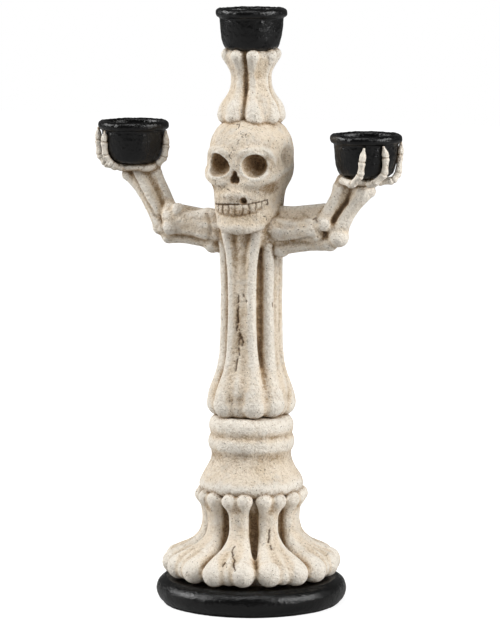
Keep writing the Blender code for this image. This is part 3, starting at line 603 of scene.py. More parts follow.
def raiseSkullMass():
    # a circle extruded level by level, each new ring drawn to the outline of its level
    bpy.ops.mesh.primitive_circle_add(vertices=64, radius=10 * mm, location=(0, 0, 0))
    mass = bpy.context.object
    bpy.ops.object.mode_set(mode="EDIT")
    bpy.ops.mesh.select_all(action="SELECT")
    half = front = back = 1
    for number, level in enumerate(skull["levels"]):
        if number:
            bpy.ops.mesh.extrude_edges_move(TRANSFORM_OT_translate={"value": (0, 0, mm)})
        shell = bmesh.from_edit_mesh(mass.data)
        for corner in shell.verts:
            if corner.select:
                # the corner's way round the ring, whatever the shape of the ring below
                depth = front if corner.co.y < 0 else back
                turn = math.degrees(math.atan2(corner.co.x / half, -corner.co.y / depth))
                corner.co = skullPoint(turn, level[0]) * mm
        _, half, front, back, _ = level
        bmesh.update_edit_mesh(mass.data)
    bpy.ops.mesh.select_all(action="SELECT")
    bpy.ops.mesh.fill_holes(sides=0)
    bpy.ops.mesh.normals_make_consistent(inside=False)
    bpy.ops.object.mode_set(mode="OBJECT")
    return mass


def mirrored(point, side):
    return (point[0] * side, *point[1:])


def ridgePath(ridge, side=1):
    # a bar that follows the skull's mass
    points = [skullPoint(side * turn, share, proud - size * 0.5) for turn, share, size, proud in ridge]
    return drawPath(points, [size for _, _, size, _ in ridge])


def surfaceFinder(piece):
    # finds the point of the surface at a turn from the front and a height
    tree = BVHTree.FromObject(piece, bpy.context.evaluated_depsgraph_get())

    def find(turn, height, start=70.0):
        away = Vector(turnedPoint(turn, 0, 1, 0))
        hit = tree.ray_cast((away * start + Vector((0, 0, height))) * mm, -away)[0]
        return hit / mm

    return find


def makeSkull():
    blocks = [raiseSkullMass()]
    for side in (-1, 1):
        for name in ("brow", "cheek"):
            blocks.append(ridgePath(skull[name], side))
        turn, share, proud, size = skull["outerRim"]
        blocks.append(addKnob(skullPoint(side * turn, share, proud), size))
    for name in ("nasal", "upperJaw", "chinRim"):
        blocks.append(ridgePath(skull[name]))
    piece = joinBlocks("skull", blocks)
    moulded(piece, skull["moulding"][0])
    cutters = []
    for side in (-1, 1):
        for form in (skull["temple"], skull["jawHollow"]):
            turn = (0, 0, side * form["turn"])
            cutters.append(addKnob(mirrored(form["centre"], side), form["size"], turn))
    cutWith(piece, cutters)
    moulded(piece, skull["moulding"][1])

    # soft rims round the eye sockets, then the hollows themselves
    find = surfaceFinder(piece)
    socket, rim = skull["socket"], skull["rim"]
    rims = [piece]
    for side in (-1, 1):
        ring = []
        for turn in range(0, 375, 15):
            across, up = math.cos(math.radians(turn)), math.sin(math.radians(turn))
            level = socket["centre"][2] + rim["height"] * up
            around = find(side * (rim["turn"] + rim["reach"] * across), level)
            inwards = Vector((-around.x, -around.y, 0)).normalized()
            ring.append(around + inwards * (rim["sunk"] + 0.3 * up))
        rims.append(drawPath(ring, [rim["size"]] * len(ring)))
    piece = joinBlocks("skull", rims)
    moulded(piece, skull["moulding"][2])
    cutters = [addKnob(place[:3], place[3:]) for place in skull["nose"]]
    for side in (-1, 1):
        turn = (0, 0, side * socket["turn"])
        cutters.append(addKnob(mirrored(socket["centre"], side), socket["size"], turn))
    cutters.append(addKnob(*skull["widerSocket"]))
    cutWith(piece, cutters)
    moulded(piece, skull["moulding"][3])
    cutWith(piece, [addKnob(skull["lostTooth"][:3], skull["lostTooth"][3:])])
    moulded(piece, skull["moulding"][4])
    carveTeeth(piece)
    carveWear(piece)
    # brown wash and painted shade in the sockets, nose, below the cheekbones and round the teeth
    for side in (-1, 1):
        for centre, size, amount in skull["sideWashAndShade"]:
            pooledWashAndShade(piece, mirrored(centre, side), size, amount)
    for centre, size, amount in skull["middleWashAndShade"]:
        pooledWashAndShade(piece, centre, size, amount)
    return piece


def biteHeight(turn):
    turns, heights = zip(*skull["bite"])
    return float(np.interp(turn, turns, heights))


def carveTeeth(piece):
    # the line between the rows, the gaps between the teeth, and the gum lines
    find = surfaceFinder(piece)
    rng = np.random.default_rng(4)
    # each groove: path, width, depth, darkness, jaggedness
    grooves = [
        ([find(t, biteHeight(t)) for t in range(-40, 10, 5)], 0.95, 0.9, 1.0, 0.4),
        ([find(t, biteHeight(t)) for t in range(5, 48, 5)], 0.75, 0.8, 0.8, 0.3),
    ]
    step = skull["toothTurn"]
    for number in range(-4, 6):
        turn = (number - 0.5) * step
        wander = rng.uniform(-1, 1, 5)
        bite = biteHeight(turn)
        top = bite + skull["upperRoot"] * (0.75 + 0.25 * wander[0])
        grooves.append(([find(turn, bite), find(turn + wander[1], top)], 0.85, 0.5, 0.32, 0.2))
        low = bite - skull["lowerRoot"] + skull["gumBend"] * turn**2
        between = turn + step * 0.5
        zigzag = [(between, bite), (between + 1.6 * wander[2], bite - 3.2), (between, low + 1.0)]
        grooves.append(([find(*place) for place in zigzag], 1.0, 0.75, 0.62 + 0.2 * wander[3], 0.5))
    gum = [(t, biteHeight(t) - skull["lowerRoot"] + skull["gumBend"] * t**2) for t in range(-42, 44, 4)]
    grooves.append(([find(t, z + 0.6 * math.sin(t * 0.7)) for t, z in gum], 1.4, 0.7, 0.42, 0.35))
    for number, (path, width, depth, shade, jag) in enumerate(grooves):
        carve(piece, path, width, depth, jag=jag, seed=number, shade=shade)


def carveWear(piece):
    # the cracks and pits that the casting shows on the brow, cheek and chin
    find = surfaceFinder(piece)
    rng = np.random.default_rng(9)
    for turn, height, count in skull["pits"]:
        for number in range(count):
            place = find(turn + rng.normal(0, 2.2), height + rng.normal(0, 1.1))
            end = place + Vector(rng.normal(0, 0.35, 3))
            carve(piece, [place, end], 0.6, 0.5, jag=0.2, seed=number, shade=0.85)
    for number, path in enumerate(skull["cracks"]):
        line = [find(turn, height) for turn, height in path]
        carve(piece, line, 0.6, 0.6, jag=0.4, seed=number, shade=0.85)


armMoulding = ((0.95, 3), (0.75, 1))

rightArm = {
    # bars as x, y, z, radius
    "bars": (
        (
            (-20, -7, 274.5, 9.0), (-31, -8.6, 274.8, 8.6), (-42, -9.0, 275.6, 8.0), (-52, -9.2, 277.4, 8.4),
            (-58, -9.0, 279.4, 8.8),
        ),
        (
            (-22, -9.0, 280.4, 5.6), (-30, -10.4, 280.6, 5.6), (-42, -11.6, 279.6, 4.8), (-52, -11.0, 281.4, 5.4),
            (-58.6, -9.4, 283.6, 6.4),
        ),
        (
            (-22, -9.0, 267.6, 5.6), (-30, -10.4, 268.2, 5.4), (-42, -11.4, 270.6, 4.6), (-54, -10.8, 271.8, 5.6),
            (-62.6, -9.2, 272.6, 7.0),
        ),
        ((-22, -4, 259.4, 6.0), (-32, -6, 262.0, 5.2), (-46, -7.0, 264.0, 4.8), (-60, -7.0, 264.8, 5.6)),
        ((-22, 4, 275.5, 8.4), (-40, 4, 276.5, 8.0), (-59, 2, 279.5, 8.2)),
        ((-22, 1, 263.5, 6.4), (-42, 0, 266.5, 6.0), (-60, -1.5, 268.5, 6.6)),
        (
            (-66.0, -8.6, 275.0, 7.0), (-70.0, -9.6, 285.5, 6.4), (-75.6, -9.8, 297.0, 6.2), (-80.6, -8.6, 306.0, 6.8),
            (-82.4, -7.6, 310.4, 7.2),
        ),
        (
            (-67.4, -7.2, 269.8, 4.6), (-74.2, -8.4, 283.0, 3.6), (-82.6, -8.8, 296.8, 3.4), (-88.6, -8.4, 304.2, 3.8),
            (-92.4, -7.8, 308.4, 4.4),
        ),
        ((-60.6, -6.6, 285.5, 5.0), (-64.8, -7.6, 297.0, 4.4), (-68.6, -7.8, 304.8, 4.5), (-71.6, -7.4, 310.6, 5.0)),
        ((-64.6, 0.5, 277.0, 8.6), (-71.0, 0.0, 291.0, 8.6), (-77.5, -1.0, 303.0, 8.8), (-81.0, -2.5, 310.5, 8.8)),
        ((-65.5, -4.5, 277.0, 7.6), (-73.0, -4.8, 292.5, 8.2), (-79.5, -5.0, 304.0, 9.0), (-82.0, -5.0, 310.5, 9.4)),
    ),
    "knobs": (
        (-57.4, -11.8, 272.6, 7.0), (-52.0, -12.0, 283.6, 5.8), (-67.4, -8.0, 271.0, 5.8), (-92.8, -7.8, 308.2, 4.7),
        (-60.8, -7.0, 264.8, 6.0), (-27.6, -5.8, 259.6, 6.2), (-29.8, -9.8, 280.6, 6.2), (-29.2, -9.8, 268.4, 6.0),
    ),
    # creases between the bones: their points, width, depth and the darkness of their painted shade
    "creases": (
        (
            (
                (-89.0, -11.4, 310.3), (-85.3, -13.4, 305.9), (-82.4, -14.2, 301.2), (-77.4, -14.5, 292.3),
                (-72.5, -15.2, 284.9), (-67.7, -15.6, 278.6),
            ),
            2.4, 1.3, 0.45,
        ),
        (((-64.7, -15.3, 279.7), (-63.3, -15.8, 274.7), (-62.3, -15.5, 269.6)), 1.6, 1.0, 0.5),
        (
            (
                (-57.4, -14.0, 267.5), (-53.4, -12.5, 266.0), (-46.0, -11.7, 265.2), (-38.2, -11.6, 264.0),
                (-31.2, -11.7, 262.5),
            ),
            1.6, 0.5, 0.35,
        ),
        (((-56.2, -15.0, 285.8), (-51.0, -14.4, 285.2), (-43.9, -12.9, 284.2)), 2.2, 0.6, 0.2),
        (((-69.8, -12.0, 306.7), (-67.6, -11.8, 300.9), (-64.5, -11.7, 295.3)), 2.0, 0.6, 0.2),
        (((-28.2, -15.3, 282.5), (-25.6, -16.1, 276.9), (-25.2, -15.3, 269.7), (-28.3, -13.2, 263.5)), 2.4, 0.8, 0.4),
    ),
}

leftArm = {
    "bars": (
        ((19, -7.5, 271.8, 9.0), (30, -9.0, 272.4, 8.4), (41, -9.4, 273.4, 7.8), (51.0, -9.6, 274.4, 8.6)),
        ((20, -9.6, 276.2, 6.0), (30, -11.0, 275.8, 5.2), (42, -11.6, 276.2, 4.8), (53.4, -10.6, 278.4, 6.2)),
        ((20, -9.4, 267.4, 5.8), (30, -10.8, 268.8, 5.0), (42, -11.4, 270.2, 4.8), (53.6, -10.4, 270.6, 6.0)),
        ((18, -2.0, 284.4, 5.4), (32, -3.5, 284.8, 4.8), (45, -4.0, 286.2, 4.6), (57, -4.5, 287.6, 5.0)),
        ((20, -5.0, 258.8, 5.8), (33, -6.6, 260.8, 5.2), (48, -7.2, 263.2, 5.2), (61.6, -7.4, 265.0, 6.2)),
        ((20, 4, 276.0, 8.6), (42, 4.0, 278.0, 8.0), (58, 2.5, 280.5, 8.2)),
        ((20, 0, 264.0, 7.0), (44, -1.5, 267.0, 6.8), (62, -2.5, 269.5, 7.0)),
        ((22, -3, 279.5, 6.4), (40, -5, 281.0, 6.0), (54, -5.5, 283.0, 6.2)),
        ((58.8, -9.4, 277.6, 6.8), (63.8, -9.8, 287.5, 5.6), (69.8, -9.2, 299.0, 5.7), (74.0, -7.8, 308.4, 6.8)),
        ((68.6, -8.8, 270.6, 7.0), (74.4, -9.0, 281.6, 5.6), (81.6, -9.0, 292.8, 5.6), (87.6, -8.8, 300.6, 6.6)),
        ((64.0, 0.5, 278.0, 8.8), (72.0, 0.0, 290.0, 8.6), (80.5, -1.5, 303.0, 8.8)),
        ((64.0, -4.0, 277.0, 7.6), (72.0, -4.4, 290.5, 7.8), (80.0, -4.6, 303.5, 9.0)),
    ),
    "knobs": (
        (60.2, -10.4, 278.2, 7.6), (70.4, -10.2, 269.2, 7.3), (88.6, -9.8, 302.2, 5.9), (92.2, -7.6, 302.6, 4.9),
        (71.0, -8.0, 304.4, 6.2), (62.4, -7.4, 265.0, 6.6), (25.0, -5.8, 258.4, 6.2),
    ),
    "creases": (
        (
            (
                (80.3, -13.5, 304.3), (76.5, -12.6, 294.5), (69.6, -12.6, 285.4), (65.3, -13.6, 277.5),
                (61.2, -14.2, 271.9),
            ),
            2.6, 1.5, 0.55,
        ),
        (
            (
                (52.7, -15.3, 282.1), (54.2, -14.3, 283.1), (55.9, -15.8, 280.5), (59.1, -16.3, 276.4),
                (60.9, -14.0, 271.6),
            ),
            1.5, 1.1, 0.65,
        ),
        (
            (
                (19.2, -16.2, 269.8), (23.0, -13.8, 264.1), (30.0, -13.4, 264.6), (37.1, -13.5, 265.8),
                (48.4, -15.8, 268.4), (57.6, -14.9, 270.4),
            ),
            1.6, 0.8, 0.4,
        ),
        (((40.6, -9.2, 285.3), (45.9, -11.1, 283.5), (52.7, -15.3, 282.1)), 1.4, 0.6, 0.35),
        (((23.0, -14.9, 278.7), (29.5, -16.2, 276.2), (37.3, -16.5, 275.2)), 2.4, 0.6, 0.15),
    ),
}

handShape = {
    "moulding": ((0.55, 1),),
    "knuckle": 2.85,
    "crease": {"width": 0.9, "depth": 0.5, "jag": 0.05, "shade": 0.5},
}

rightHand = {
    "cup": (-89, -6),
    "palm": (
        ((-87, -6, 314.4), (16.5, 14.5, 3.4)), ((-78, -7, 313.8), (10.0, 10.5, 4.0)),
        ((-94, -7, 313.0), (8.0, 9.0, 3.0)),
    ),
    # each joint of a finger: turn round the cup, distance from its axis, height
    "fingers": (
        ((-20, 13, 314.2), (-30, 19.6, 316.2), (-37, 23.6, 323.3), (-37, 24.4, 333.1), (-34, 24.6, 340.4)),
        ((-60, 13, 313.6), (-66, 20.4, 316.4), (-69, 24.6, 322.6), (-69, 25.3, 333.4), (-68, 25.2, 342.0)),
        ((-120, 8, 313.8), (-118, 18.8, 315.4), (-117, 23.4, 321.4), (-116, 24.2, 331.2), (-116, 24.6, 339.6)),
        ((-160, 8, 314.0), (-160, 18.6, 315.6), (-160, 23.4, 321.6), (-160, 24.2, 330.8), (-160, 24.6, 338.4)),
        ((78, 12, 314.0), (84, 19.4, 315.8), (92, 23.8, 321.4), (95, 24.6, 330.4), (94, 24.6, 340.0)),
    ),
}

leftHand = {
    "cup": (89, -6),
    "palm": (((86, -6, 309.8), (16.0, 14.5, 3.8)), ((78, -7.5, 309.4), (9.5, 10.5, 4.2))),
    "fingers": (
        ((-48, 18.5, 310.8), (-8, 20.4, 308.6), (10, 23.6, 315.8), (13, 24.6, 325.4), (16, 24.6, 334.2)),
        ((30, 13, 308.6), (38, 19.6, 309.4), (53, 23.8, 316.2), (54, 24.6, 328.1), (49, 24.7, 335.6)),
        ((84, 10, 309.2), (92, 20.0, 310.6), (101, 23.2, 315.6), (106, 24.2, 328.4), (106, 24.8, 337.4)),
        ((152, 8, 309.4), (155, 18.6, 310.8), (156, 23.4, 316.8), (156, 24.3, 327.2), (156, 24.6, 336.6)),
        ((196, 8, 309.6), (196, 18.6, 311.0), (196, 23.4, 317.0), (196, 24.3, 326.2), (196, 24.6, 334.6)),
    ),
}


def makeArm(name, arm):
    blocks = [drawPath([p[:3] for p in bar], [p[3] for p in bar]) for bar in arm["bars"]]
    blocks += [addKnob(knob[:3], knob[3]) for knob in arm["knobs"]]
    blocks += [addKnob(bar[end][:3], bar[end][3]) for bar in arm["bars"] for end in (0, -1)]
    piece = joinBlocks(name, blocks)
    moulded(piece, *armMoulding)
    for number, (path, width, depth, shade) in enumerate(arm["creases"]):
        carve(piece, path, width, depth, jag=0.3, seed=number, shade=shade)
    return piece


def makeHand(name, hand):
    creases = []
    blocks = [addKnob(centre, size) for centre, size in hand["palm"]]
    for finger in hand["fingers"]:
        joints = []
        for turn, out, height in finger:
            x, y, z = turnedPoint(turn, 0, out, height)
            joints.append(Vector((x + hand["cup"][0], y + hand["cup"][1], z)))
        for number, (start, end) in enumerate(zip(joints, joints[1:])):
            tip = number == len(joints) - 2
            thick = handShape["knuckle"] - 0.1 * number
            sizes = (thick, thick * 0.90, thick * 0.4) if tip else (thick, thick * 0.84, thick * 1.02)
            middle = start.lerp(end, 0.5)
            blocks.append(drawPath([start.lerp(end, 0.07), middle, start.lerp(end, 0.93)], sizes))
            blocks.append(addKnob(start.lerp(end, 0.12), thick))
            blocks.append(addKnob(end if tip else start.lerp(end, 0.86), thick * (0.4 if tip else 1.02)))
        creases += [(joints[i - 1], joints[i], joints[i + 1]) for i in range(1, len(joints) - 1)]
    piece = joinBlocks(name, blocks)
    moulded(piece, *handShape["moulding"])
    for before, joint, after in creases:
        # a thin crease all round the finger where two of its bones meet, darkened with painted shade
        along = (after - before).normalized()
        one = along.orthogonal().normalized()
        other = along.cross(one)
        turns = [math.radians(t) for t in range(0, 390, 30)]
        around = handShape["knuckle"] * 0.95
        ring = [joint + (one * math.cos(t) + other * math.sin(t)) * around for t in turns]
        carve(piece, ring, **handShape["crease"])
    return piece


def hexColour(code, alpha=1.0):
    channels = [int(code[i : i + 2], 16) / 255 for i in (1, 3, 5)]
    return [c / 12.92 if c <= 0.04045 else ((c + 0.055) / 1.055) ** 2.4 for c in channels] + [alpha]


def addNode(tree, kind, links=None, values=None, **settings):
    made = tree.nodes.new(kind)
    for key, value in settings.items():
        setattr(made, key, value)
    for socket, value in (values or {}).items():
        made.inputs[socket].default_value = value
    for socket, source in (links or {}).items():
        tree.links.new(source, made.inputs[socket])
    return made


def startMaterial(name, viewColour):
    material = bpy.data.materials.new(name)
    material.use_nodes = True
    material.diffuse_color = hexColour(viewColour)
    tree = material.node_tree
    return material, tree, tree.nodes["Principled BSDF"]


ivory = {
    "light": "#f0e2ce",
    # dry-brushed lighter paint on the raised parts, which also serves as painted highlight
    "rubbedHighlight": "#fbf5ea",
    "tan": "#dcc8ab",
    "grey": "#d0cac1",
    # the brown of the wash, which also paints the shade in hollows, seams and under overhangs; the deep brown also
    # fills cracks and creases
    "washAndShade": "#9a7c56",
    "deepWashAndShade": "#533d27",
    "speck": "#4f3d29",
    "dimpleSize": 1.9,  # mm, hammered dimples of the cast face
    "patchSize": 16,  # mm, drift of the ivory tone
    "mottleSize": 3.0,  # mm, cloudy brush marks
    "grainSize": 0.8,  # mm, sandy grain of the cast resin; the real grit is finer, drawn as coarse as shows
    "pitSpacing": 2.1,  # mm, from one pin hole to the next; the holes are 0.6 mm wide and hold dark paint
}


def makeIvoryResin():
    # Stone-filled resin casting, dry-brushed ivory over a brown wash: matt, sandy, dark where the wash settled, with
    # painted shade in the hollows, seams and under overhangs and a painted highlight on the raised parts
    material, tree, shader = startMaterial("washedShadedIvoryResin", ivory["light"])
    place = addNode(tree, "ShaderNodeTexCoord").outputs["Object"]

    def noise(size, detail=3, rough=0.55, seed=0.0):
        offset = (seed, seed * 0.7, seed * 1.3)
        shifted = addNode(tree, "ShaderNodeMapping", {"Vector": place}, {"Location": offset})
        return addNode(
            tree, "ShaderNodeTexNoise", {"Vector": shifted.outputs["Vector"]},
            {"Scale": 1 / (size * mm), "Detail": detail, "Roughness": rough},
        ).outputs["Fac"]

    def spread(source, low, high, start=0.0, end=1.0):
        return addNode(
            tree, "ShaderNodeMapRange", {"Value": source},
            {"From Min": low, "From Max": high, "To Min": start, "To Max": end},
            interpolation_type="SMOOTHSTEP",
        ).outputs["Result"]

    def blend(amount, under, over):
        mixed = addNode(tree, "ShaderNodeMix", data_type="RGBA", blend_type="MIX")
        for socket, source in ((0, amount), (6, under), (7, over)):
            if isinstance(source, bpy.types.NodeSocket):
                tree.links.new(source, mixed.inputs[socket])
            else:
                mixed.inputs[socket].default_value = source
        return mixed.outputs[2]

    def combine(one, other, operation):
        return addNode(tree, "ShaderNodeMath", {0: one, 1: other}, operation=operation).outputs["Value"]

    # the wash mask carries brown wash and painted shade
    washAndShade = addNode(tree, "ShaderNodeAttribute", attribute_name="washAndShade").outputs["Fac"]
    crackPaintAndCreaseShade = addNode(tree, "ShaderNodeAttribute", attribute_name="crackPaintAndCreaseShade").outputs["Fac"]
    rubAndHighlight = addNode(tree, "ShaderNodeAttribute", attribute_name="rubAndHighlight").outputs["Fac"]
    mottle = noise(ivory["mottleSize"], 4, 0.65, 3.1)
    sand = addNode(tree, "ShaderNodeTexVoronoi", {"Vector": place}, {"Scale": 1 / (ivory["grainSize"] * mm)})
    grain = combine(sand.outputs["Color"], mottle, "ADD")
    patches = noise(ivory["patchSize"], 3, 0.6, 1.7)
    greys = noise(ivory["patchSize"] * 0.8, 3, 0.6, 5.9)
    colour = blend(spread(patches, 0.42, 0.70, 0, 0.6), hexColour(ivory["light"]), hexColour(ivory["tan"]))
    colour = blend(spread(greys, 0.50, 0.68, 0, 0.45), colour, hexColour(ivory["grey"]))
    colour = blend(spread(mottle, 0.45, 0.75, 0, 0.3), colour, hexColour(ivory["tan"]))
    # raised parts lightened: dry-brushed paint and painted highlight
    colour = blend(spread(rubAndHighlight, 0.03, 0.5, 0, 0.75), colour, hexColour(ivory["rubbedHighlight"]))
    colour = blend(spread(grain, 1.0, 1.5, 0, 0.3), colour, hexColour(ivory["washAndShade"]))
    # the wash and its painted shade are broken up by the sandy surface
    brokenWashAndShade = combine(washAndShade, spread(mottle, 0.3, 0.7, -0.08, 0.08), "ADD")
    brokenWashAndShade = combine(brokenWashAndShade, spread(grain, 0.6, 1.4, -0.1, 0.1), "ADD")
    # brown wash with painted shade in hollows, creases, seams and under overhangs; the deepest parts get the deep
    # brown
    colour = blend(spread(brokenWashAndShade, 0.02, 0.75, 0, 0.88), colour, hexColour(ivory["washAndShade"]))
    colour = blend(spread(brokenWashAndShade, 0.6, 1.2, 0, 0.85), colour, hexColour(ivory["deepWashAndShade"]))
    # pin holes: round cells of which only some are open, more of them in patches
    spacing = 1 / (ivory["pitSpacing"] * mm)
    cells = addNode(tree, "ShaderNodeTexVoronoi", {"Vector": place}, {"Scale": spacing})
    crowd = spread(noise(ivory["patchSize"] * 0.6, 4, 0.7, 8.3), 0.42, 0.66, 0.0, 0.14)
    opened = spread(combine(cells.outputs["Color"], crowd, "ADD"), 0.66, 0.72)
    pits = combine(spread(cells.outputs["Distance"], 0.11, 0.23, 1, 0), opened, "MULTIPLY")
    paintedPits = combine(pits, spread(mottle, 0.3, 0.6, 0.6, 1.0), "MULTIPLY")
    colour = blend(paintedPits, colour, hexColour(ivory["speck"]))
    # dark paint in the cracks and pits, and painted shade in the creases between bones and finger joints
    colour = blend(spread(crackPaintAndCreaseShade, 0.20, 0.85, 0, 0.92), colour, hexColour(ivory["deepWashAndShade"]))
    tree.links.new(colour, shader.inputs["Base Color"])
    tree.links.new(spread(mottle, 0.3, 0.7, 0.62, 0.8), shader.inputs["Roughness"])
    shader.inputs["IOR"].default_value = 1.48
    shader.inputs["Specular IOR Level"].default_value = 0.3
    grit = combine(combine(grain, sand.outputs["Distance"], "SUBTRACT"), mottle, "ADD")
    dimples = spread(noise(ivory["dimpleSize"], 2, 0.5, 2.2), 0.3, 0.7, 0, 2)
    height = combine(combine(grit, dimples, "ADD"), pits, "SUBTRACT")
    bump = addNode(tree, "ShaderNodeBump", {"Height": height}, {"Strength": 0.7, "Distance": 0.28 * mm})
    tree.links.new(bump.outputs["Normal"], shader.inputs["Normal"])
    return material


black = {
    "paint": "#030303",
    "worn": "#0b0a09",
    "lumpSize": 3.4,  # mm, brush-laid lumps
    "strokeSize": 1.3,  # mm, bristle marks
}


def makeBlackPaint():
    # Brushed satin acrylic over the same casting: nearly black, highlights broken by lumps and bristles
    material, tree, shader = startMaterial("brushedBlackAcrylic", black["paint"])
    place = addNode(tree, "ShaderNodeTexCoord").outputs["Object"]

    def noise(size, detail, rough, squash=1.0):
        stretched = addNode(tree, "ShaderNodeMapping", {"Vector": place}, {"Scale": (1, 1, squash)})
        return addNode(
            tree, "ShaderNodeTexNoise", {"Vector": stretched.outputs["Vector"]},
            {"Scale": 1 / (size * mm), "Detail": detail, "Roughness": rough},
        ).outputs["Fac"]

    lumps = noise(black["lumpSize"], 4, 0.6)
    strokes = noise(black["strokeSize"], 3, 0.6, 0.45)
    amount = addNode(
        tree, "ShaderNodeMapRange", {"Value": lumps},
        {"From Min": 0.5, "From Max": 0.8, "To Min": 0, "To Max": 0.6},
    )
    worn = addNode(tree, "ShaderNodeMix", {0: amount.outputs["Result"]}, data_type="RGBA", blend_type="MIX")
    worn.inputs[6].default_value = hexColour(black["paint"])
    worn.inputs[7].default_value = hexColour(black["worn"])
    tree.links.new(worn.outputs[2], shader.inputs["Base Color"])
    gloss = addNode(
        tree, "ShaderNodeMapRange", {"Value": strokes},
        {"From Min": 0.3, "From Max": 0.7, "To Min": 0.11, "To Max": 0.27},
    )
    tree.links.new(gloss.outputs["Result"], shader.inputs["Roughness"])
    shader.inputs["IOR"].default_value = 1.49
    shader.inputs["Specular IOR Level"].default_value = 0.42
    height = addNode(tree, "ShaderNodeMath", {0: lumps, 1: strokes}, operation="ADD").outputs["Value"]
    bump = addNode(tree, "ShaderNodeBump", {"Height": height}, {"Strength": 0.7, "Distance": 0.6 * mm})
    tree.links.new(bump.outputs["Normal"], shader.inputs["Normal"])
    return material


def finishPiece(piece, material):
    choose(piece)
    bpy.ops.object.shade_smooth()
    piece.data.materials.clear()
    piece.data.materials.append(material)
    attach(piece, "root")
    print(piece.name, "triangles", sum(len(face.vertices) - 2 for face in piece.data.polygons))


castSurface = {"lumps": (9, 0.45), "skin": (2.4, 0.32)}  # size and depth in mm


def dressBone(pieces, others):
    # small lumps of the casting, then the wash with its painted shade and highlight, and the ivory paint
    for piece in pieces:
        roughen(piece, f"{piece.name}Lumps", "CLOUDS", *castSurface["lumps"], detail=1)
        roughen(piece, f"{piece.name}Skin", "CLOUDS", *castSurface["skin"], detail=3)
    graph = bpy.context.evaluated_depsgraph_get()
    trees = {piece: BVHTree.FromObject(piece, graph) for piece in pieces + others}
    resin = makeIvoryResin()
    for piece in pieces:
        washAndShadeCreases(piece, trees)
        finishPiece(piece, resin)


def dressBlack(pieces):
    paint = makeBlackPaint()
    for piece in pieces:
        finishPiece(piece, paint)


# in metres: the floor's size, how far it lies under the base, and where its glow starts and ends
stage = {
    "size": 8,
    "sunk": 0.0002,
    "near": 0.072,
    "far": 0.17,
    "nearGlow": 0.78,
    "farGlow": 1.0,
    "colour": "#b0b0b0",
}


def setFloor():
    bpy.ops.mesh.primitive_plane_add(size=stage["size"], location=(0, 0, -stage["sunk"]))
    floor = bpy.context.object
    floor.name = "floor"
    material, tree, shader = startMaterial("paleFloor", "#f4f4f4")
    shader.inputs["Base Color"].default_value = hexColour(stage["colour"])
    shader.inputs["Roughness"].default_value = 0.9
    # to the camera the floor glows up to white away from the object, and keeps its shadow close by
    place = addNode(tree, "ShaderNodeTexCoord").outputs["Object"]
    away = addNode(tree, "ShaderNodeVectorMath", {0: place}, operation="LENGTH").outputs["Value"]
    near, far = stage["nearGlow"], stage["farGlow"]
    glow = addNode(
        tree, "ShaderNodeMapRange", {"Value": away},
        {"From Min": stage["near"], "From Max": stage["far"], "To Min": near, "To Max": far},
    )
    light = addNode(tree, "ShaderNodeEmission", {"Strength": glow.outputs["Result"]})
    lit = addNode(tree, "ShaderNodeBsdfDiffuse", values={"Color": (0.5, 0.5, 0.5, 1)})
    shown = addNode(tree, "ShaderNodeAddShader", {0: light.outputs[0], 1: lit.outputs[0]})
    seen = addNode(tree, "ShaderNodeLightPath").outputs["Is Camera Ray"]
    both = addNode(tree, "ShaderNodeMixShader", {0: seen, 1: shader.outputs[0], 2: shown.outputs[0]})
    tree.links.new(both.outputs[0], tree.nodes["Material Output"].inputs["Surface"])
    floor.data.materials.append(material)


# places and sizes in metres, power in watts
lamps = {
    "boxLeft": {"place": (-2.3, -0.8, 1.3), "size": 1.3, "power": 56},
    "boxRight": {"place": (2.3, -0.3, 1.1), "size": 1.3, "power": 50},
    "top": {"place": (0.1, -1.1, 2.3), "size": 1.0, "power": 17},
}
lampAim = (0, 0, 0.25)
roomLight = 0.12


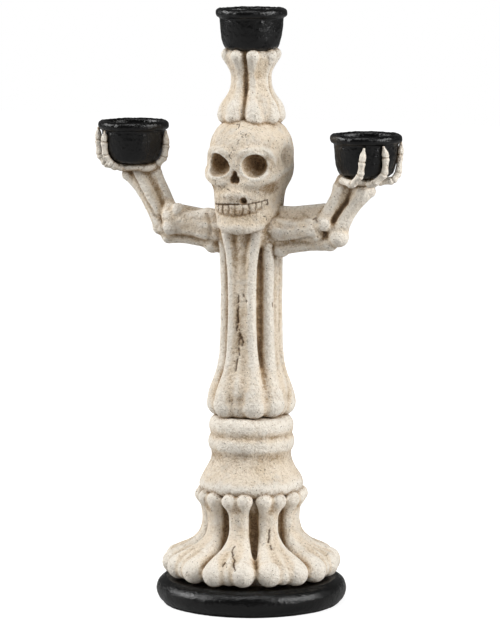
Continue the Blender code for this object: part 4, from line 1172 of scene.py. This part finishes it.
def setLights():
    world = bpy.data.worlds.new("studio")
    bpy.context.scene.world = world
    world.use_nodes = True
    tree = world.node_tree
    seen = addNode(tree, "ShaderNodeLightPath").outputs["Is Camera Ray"]
    strength = addNode(
        tree, "ShaderNodeMapRange", {"Value": seen},
        {"From Min": 0, "From Max": 1, "To Min": roomLight, "To Max": 1.0},
    )
    tree.nodes["Background"].inputs["Color"].default_value = (1, 1, 1, 1)
    tree.links.new(strength.outputs["Result"], tree.nodes["Background"].inputs["Strength"])
    for name, lamp in lamps.items():
        bpy.ops.object.light_add(type="AREA", location=lamp["place"])
        light = bpy.context.object
        light.name = name
        light.data.size = lamp["size"]
        light.data.energy = lamp["power"]
        light.rotation_euler = (Vector(lampAim) - Vector(lamp["place"])).to_track_quat("-Z", "Y").to_euler()


# in metres, with the turn in degrees and the lens in mm
cameraSetup = {
    "distance": 2.684,
    "height": 0.570,
    "turn": 21,
    "aim": 0.215,
    "lens": 216.45,
    "shift": (-0.00224, -0.00946),
}


def setCamera():
    turn = math.radians(cameraSetup["turn"])
    distance = cameraSetup["distance"]
    place = Vector((distance * math.sin(turn), -distance * math.cos(turn), cameraSetup["height"]))
    bpy.ops.object.camera_add(location=place)
    camera = bpy.context.object
    camera.name = "photographAngle"
    camera.rotation_euler = (Vector((0, 0, cameraSetup["aim"])) - place).to_track_quat("-Z", "Y").to_euler()
    camera.data.sensor_fit = "VERTICAL"
    camera.data.sensor_height = 36
    camera.data.lens = cameraSetup["lens"]
    camera.data.shift_x, camera.data.shift_y = cameraSetup["shift"]
    bpy.context.scene.camera = camera
    bpy.context.scene.view_settings.view_transform = "Standard"


print("modelling the base and the skirt")
baseDisc = makeBase()
skirtBones = makeSkirt()
print("modelling the collar, the column and the neck")
turnedCollar = makePedestal()
columnBones = makeColumn()
neckBones = makeNeck()
print("modelling the skull")
skullPiece = makeSkull()
print("modelling the arms, hands and cups")
limbs = [
    makeArm("armRight", rightArm), makeArm("armLeft", leftArm),
    makeHand("handRight", rightHand), makeHand("handLeft", leftHand),
]
cupPieces = makeCups()

print("painting")
bonePieces = [skirtBones, turnedCollar, columnBones, neckBones, skullPiece] + limbs
blackPieces = [baseDisc] + cupPieces
dressBone(bonePieces, blackPieces)
dressBlack(blackPieces)
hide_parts(castingNode)

print("setting the floor, lights and camera")
setFloor()
setLights()
setCamera()
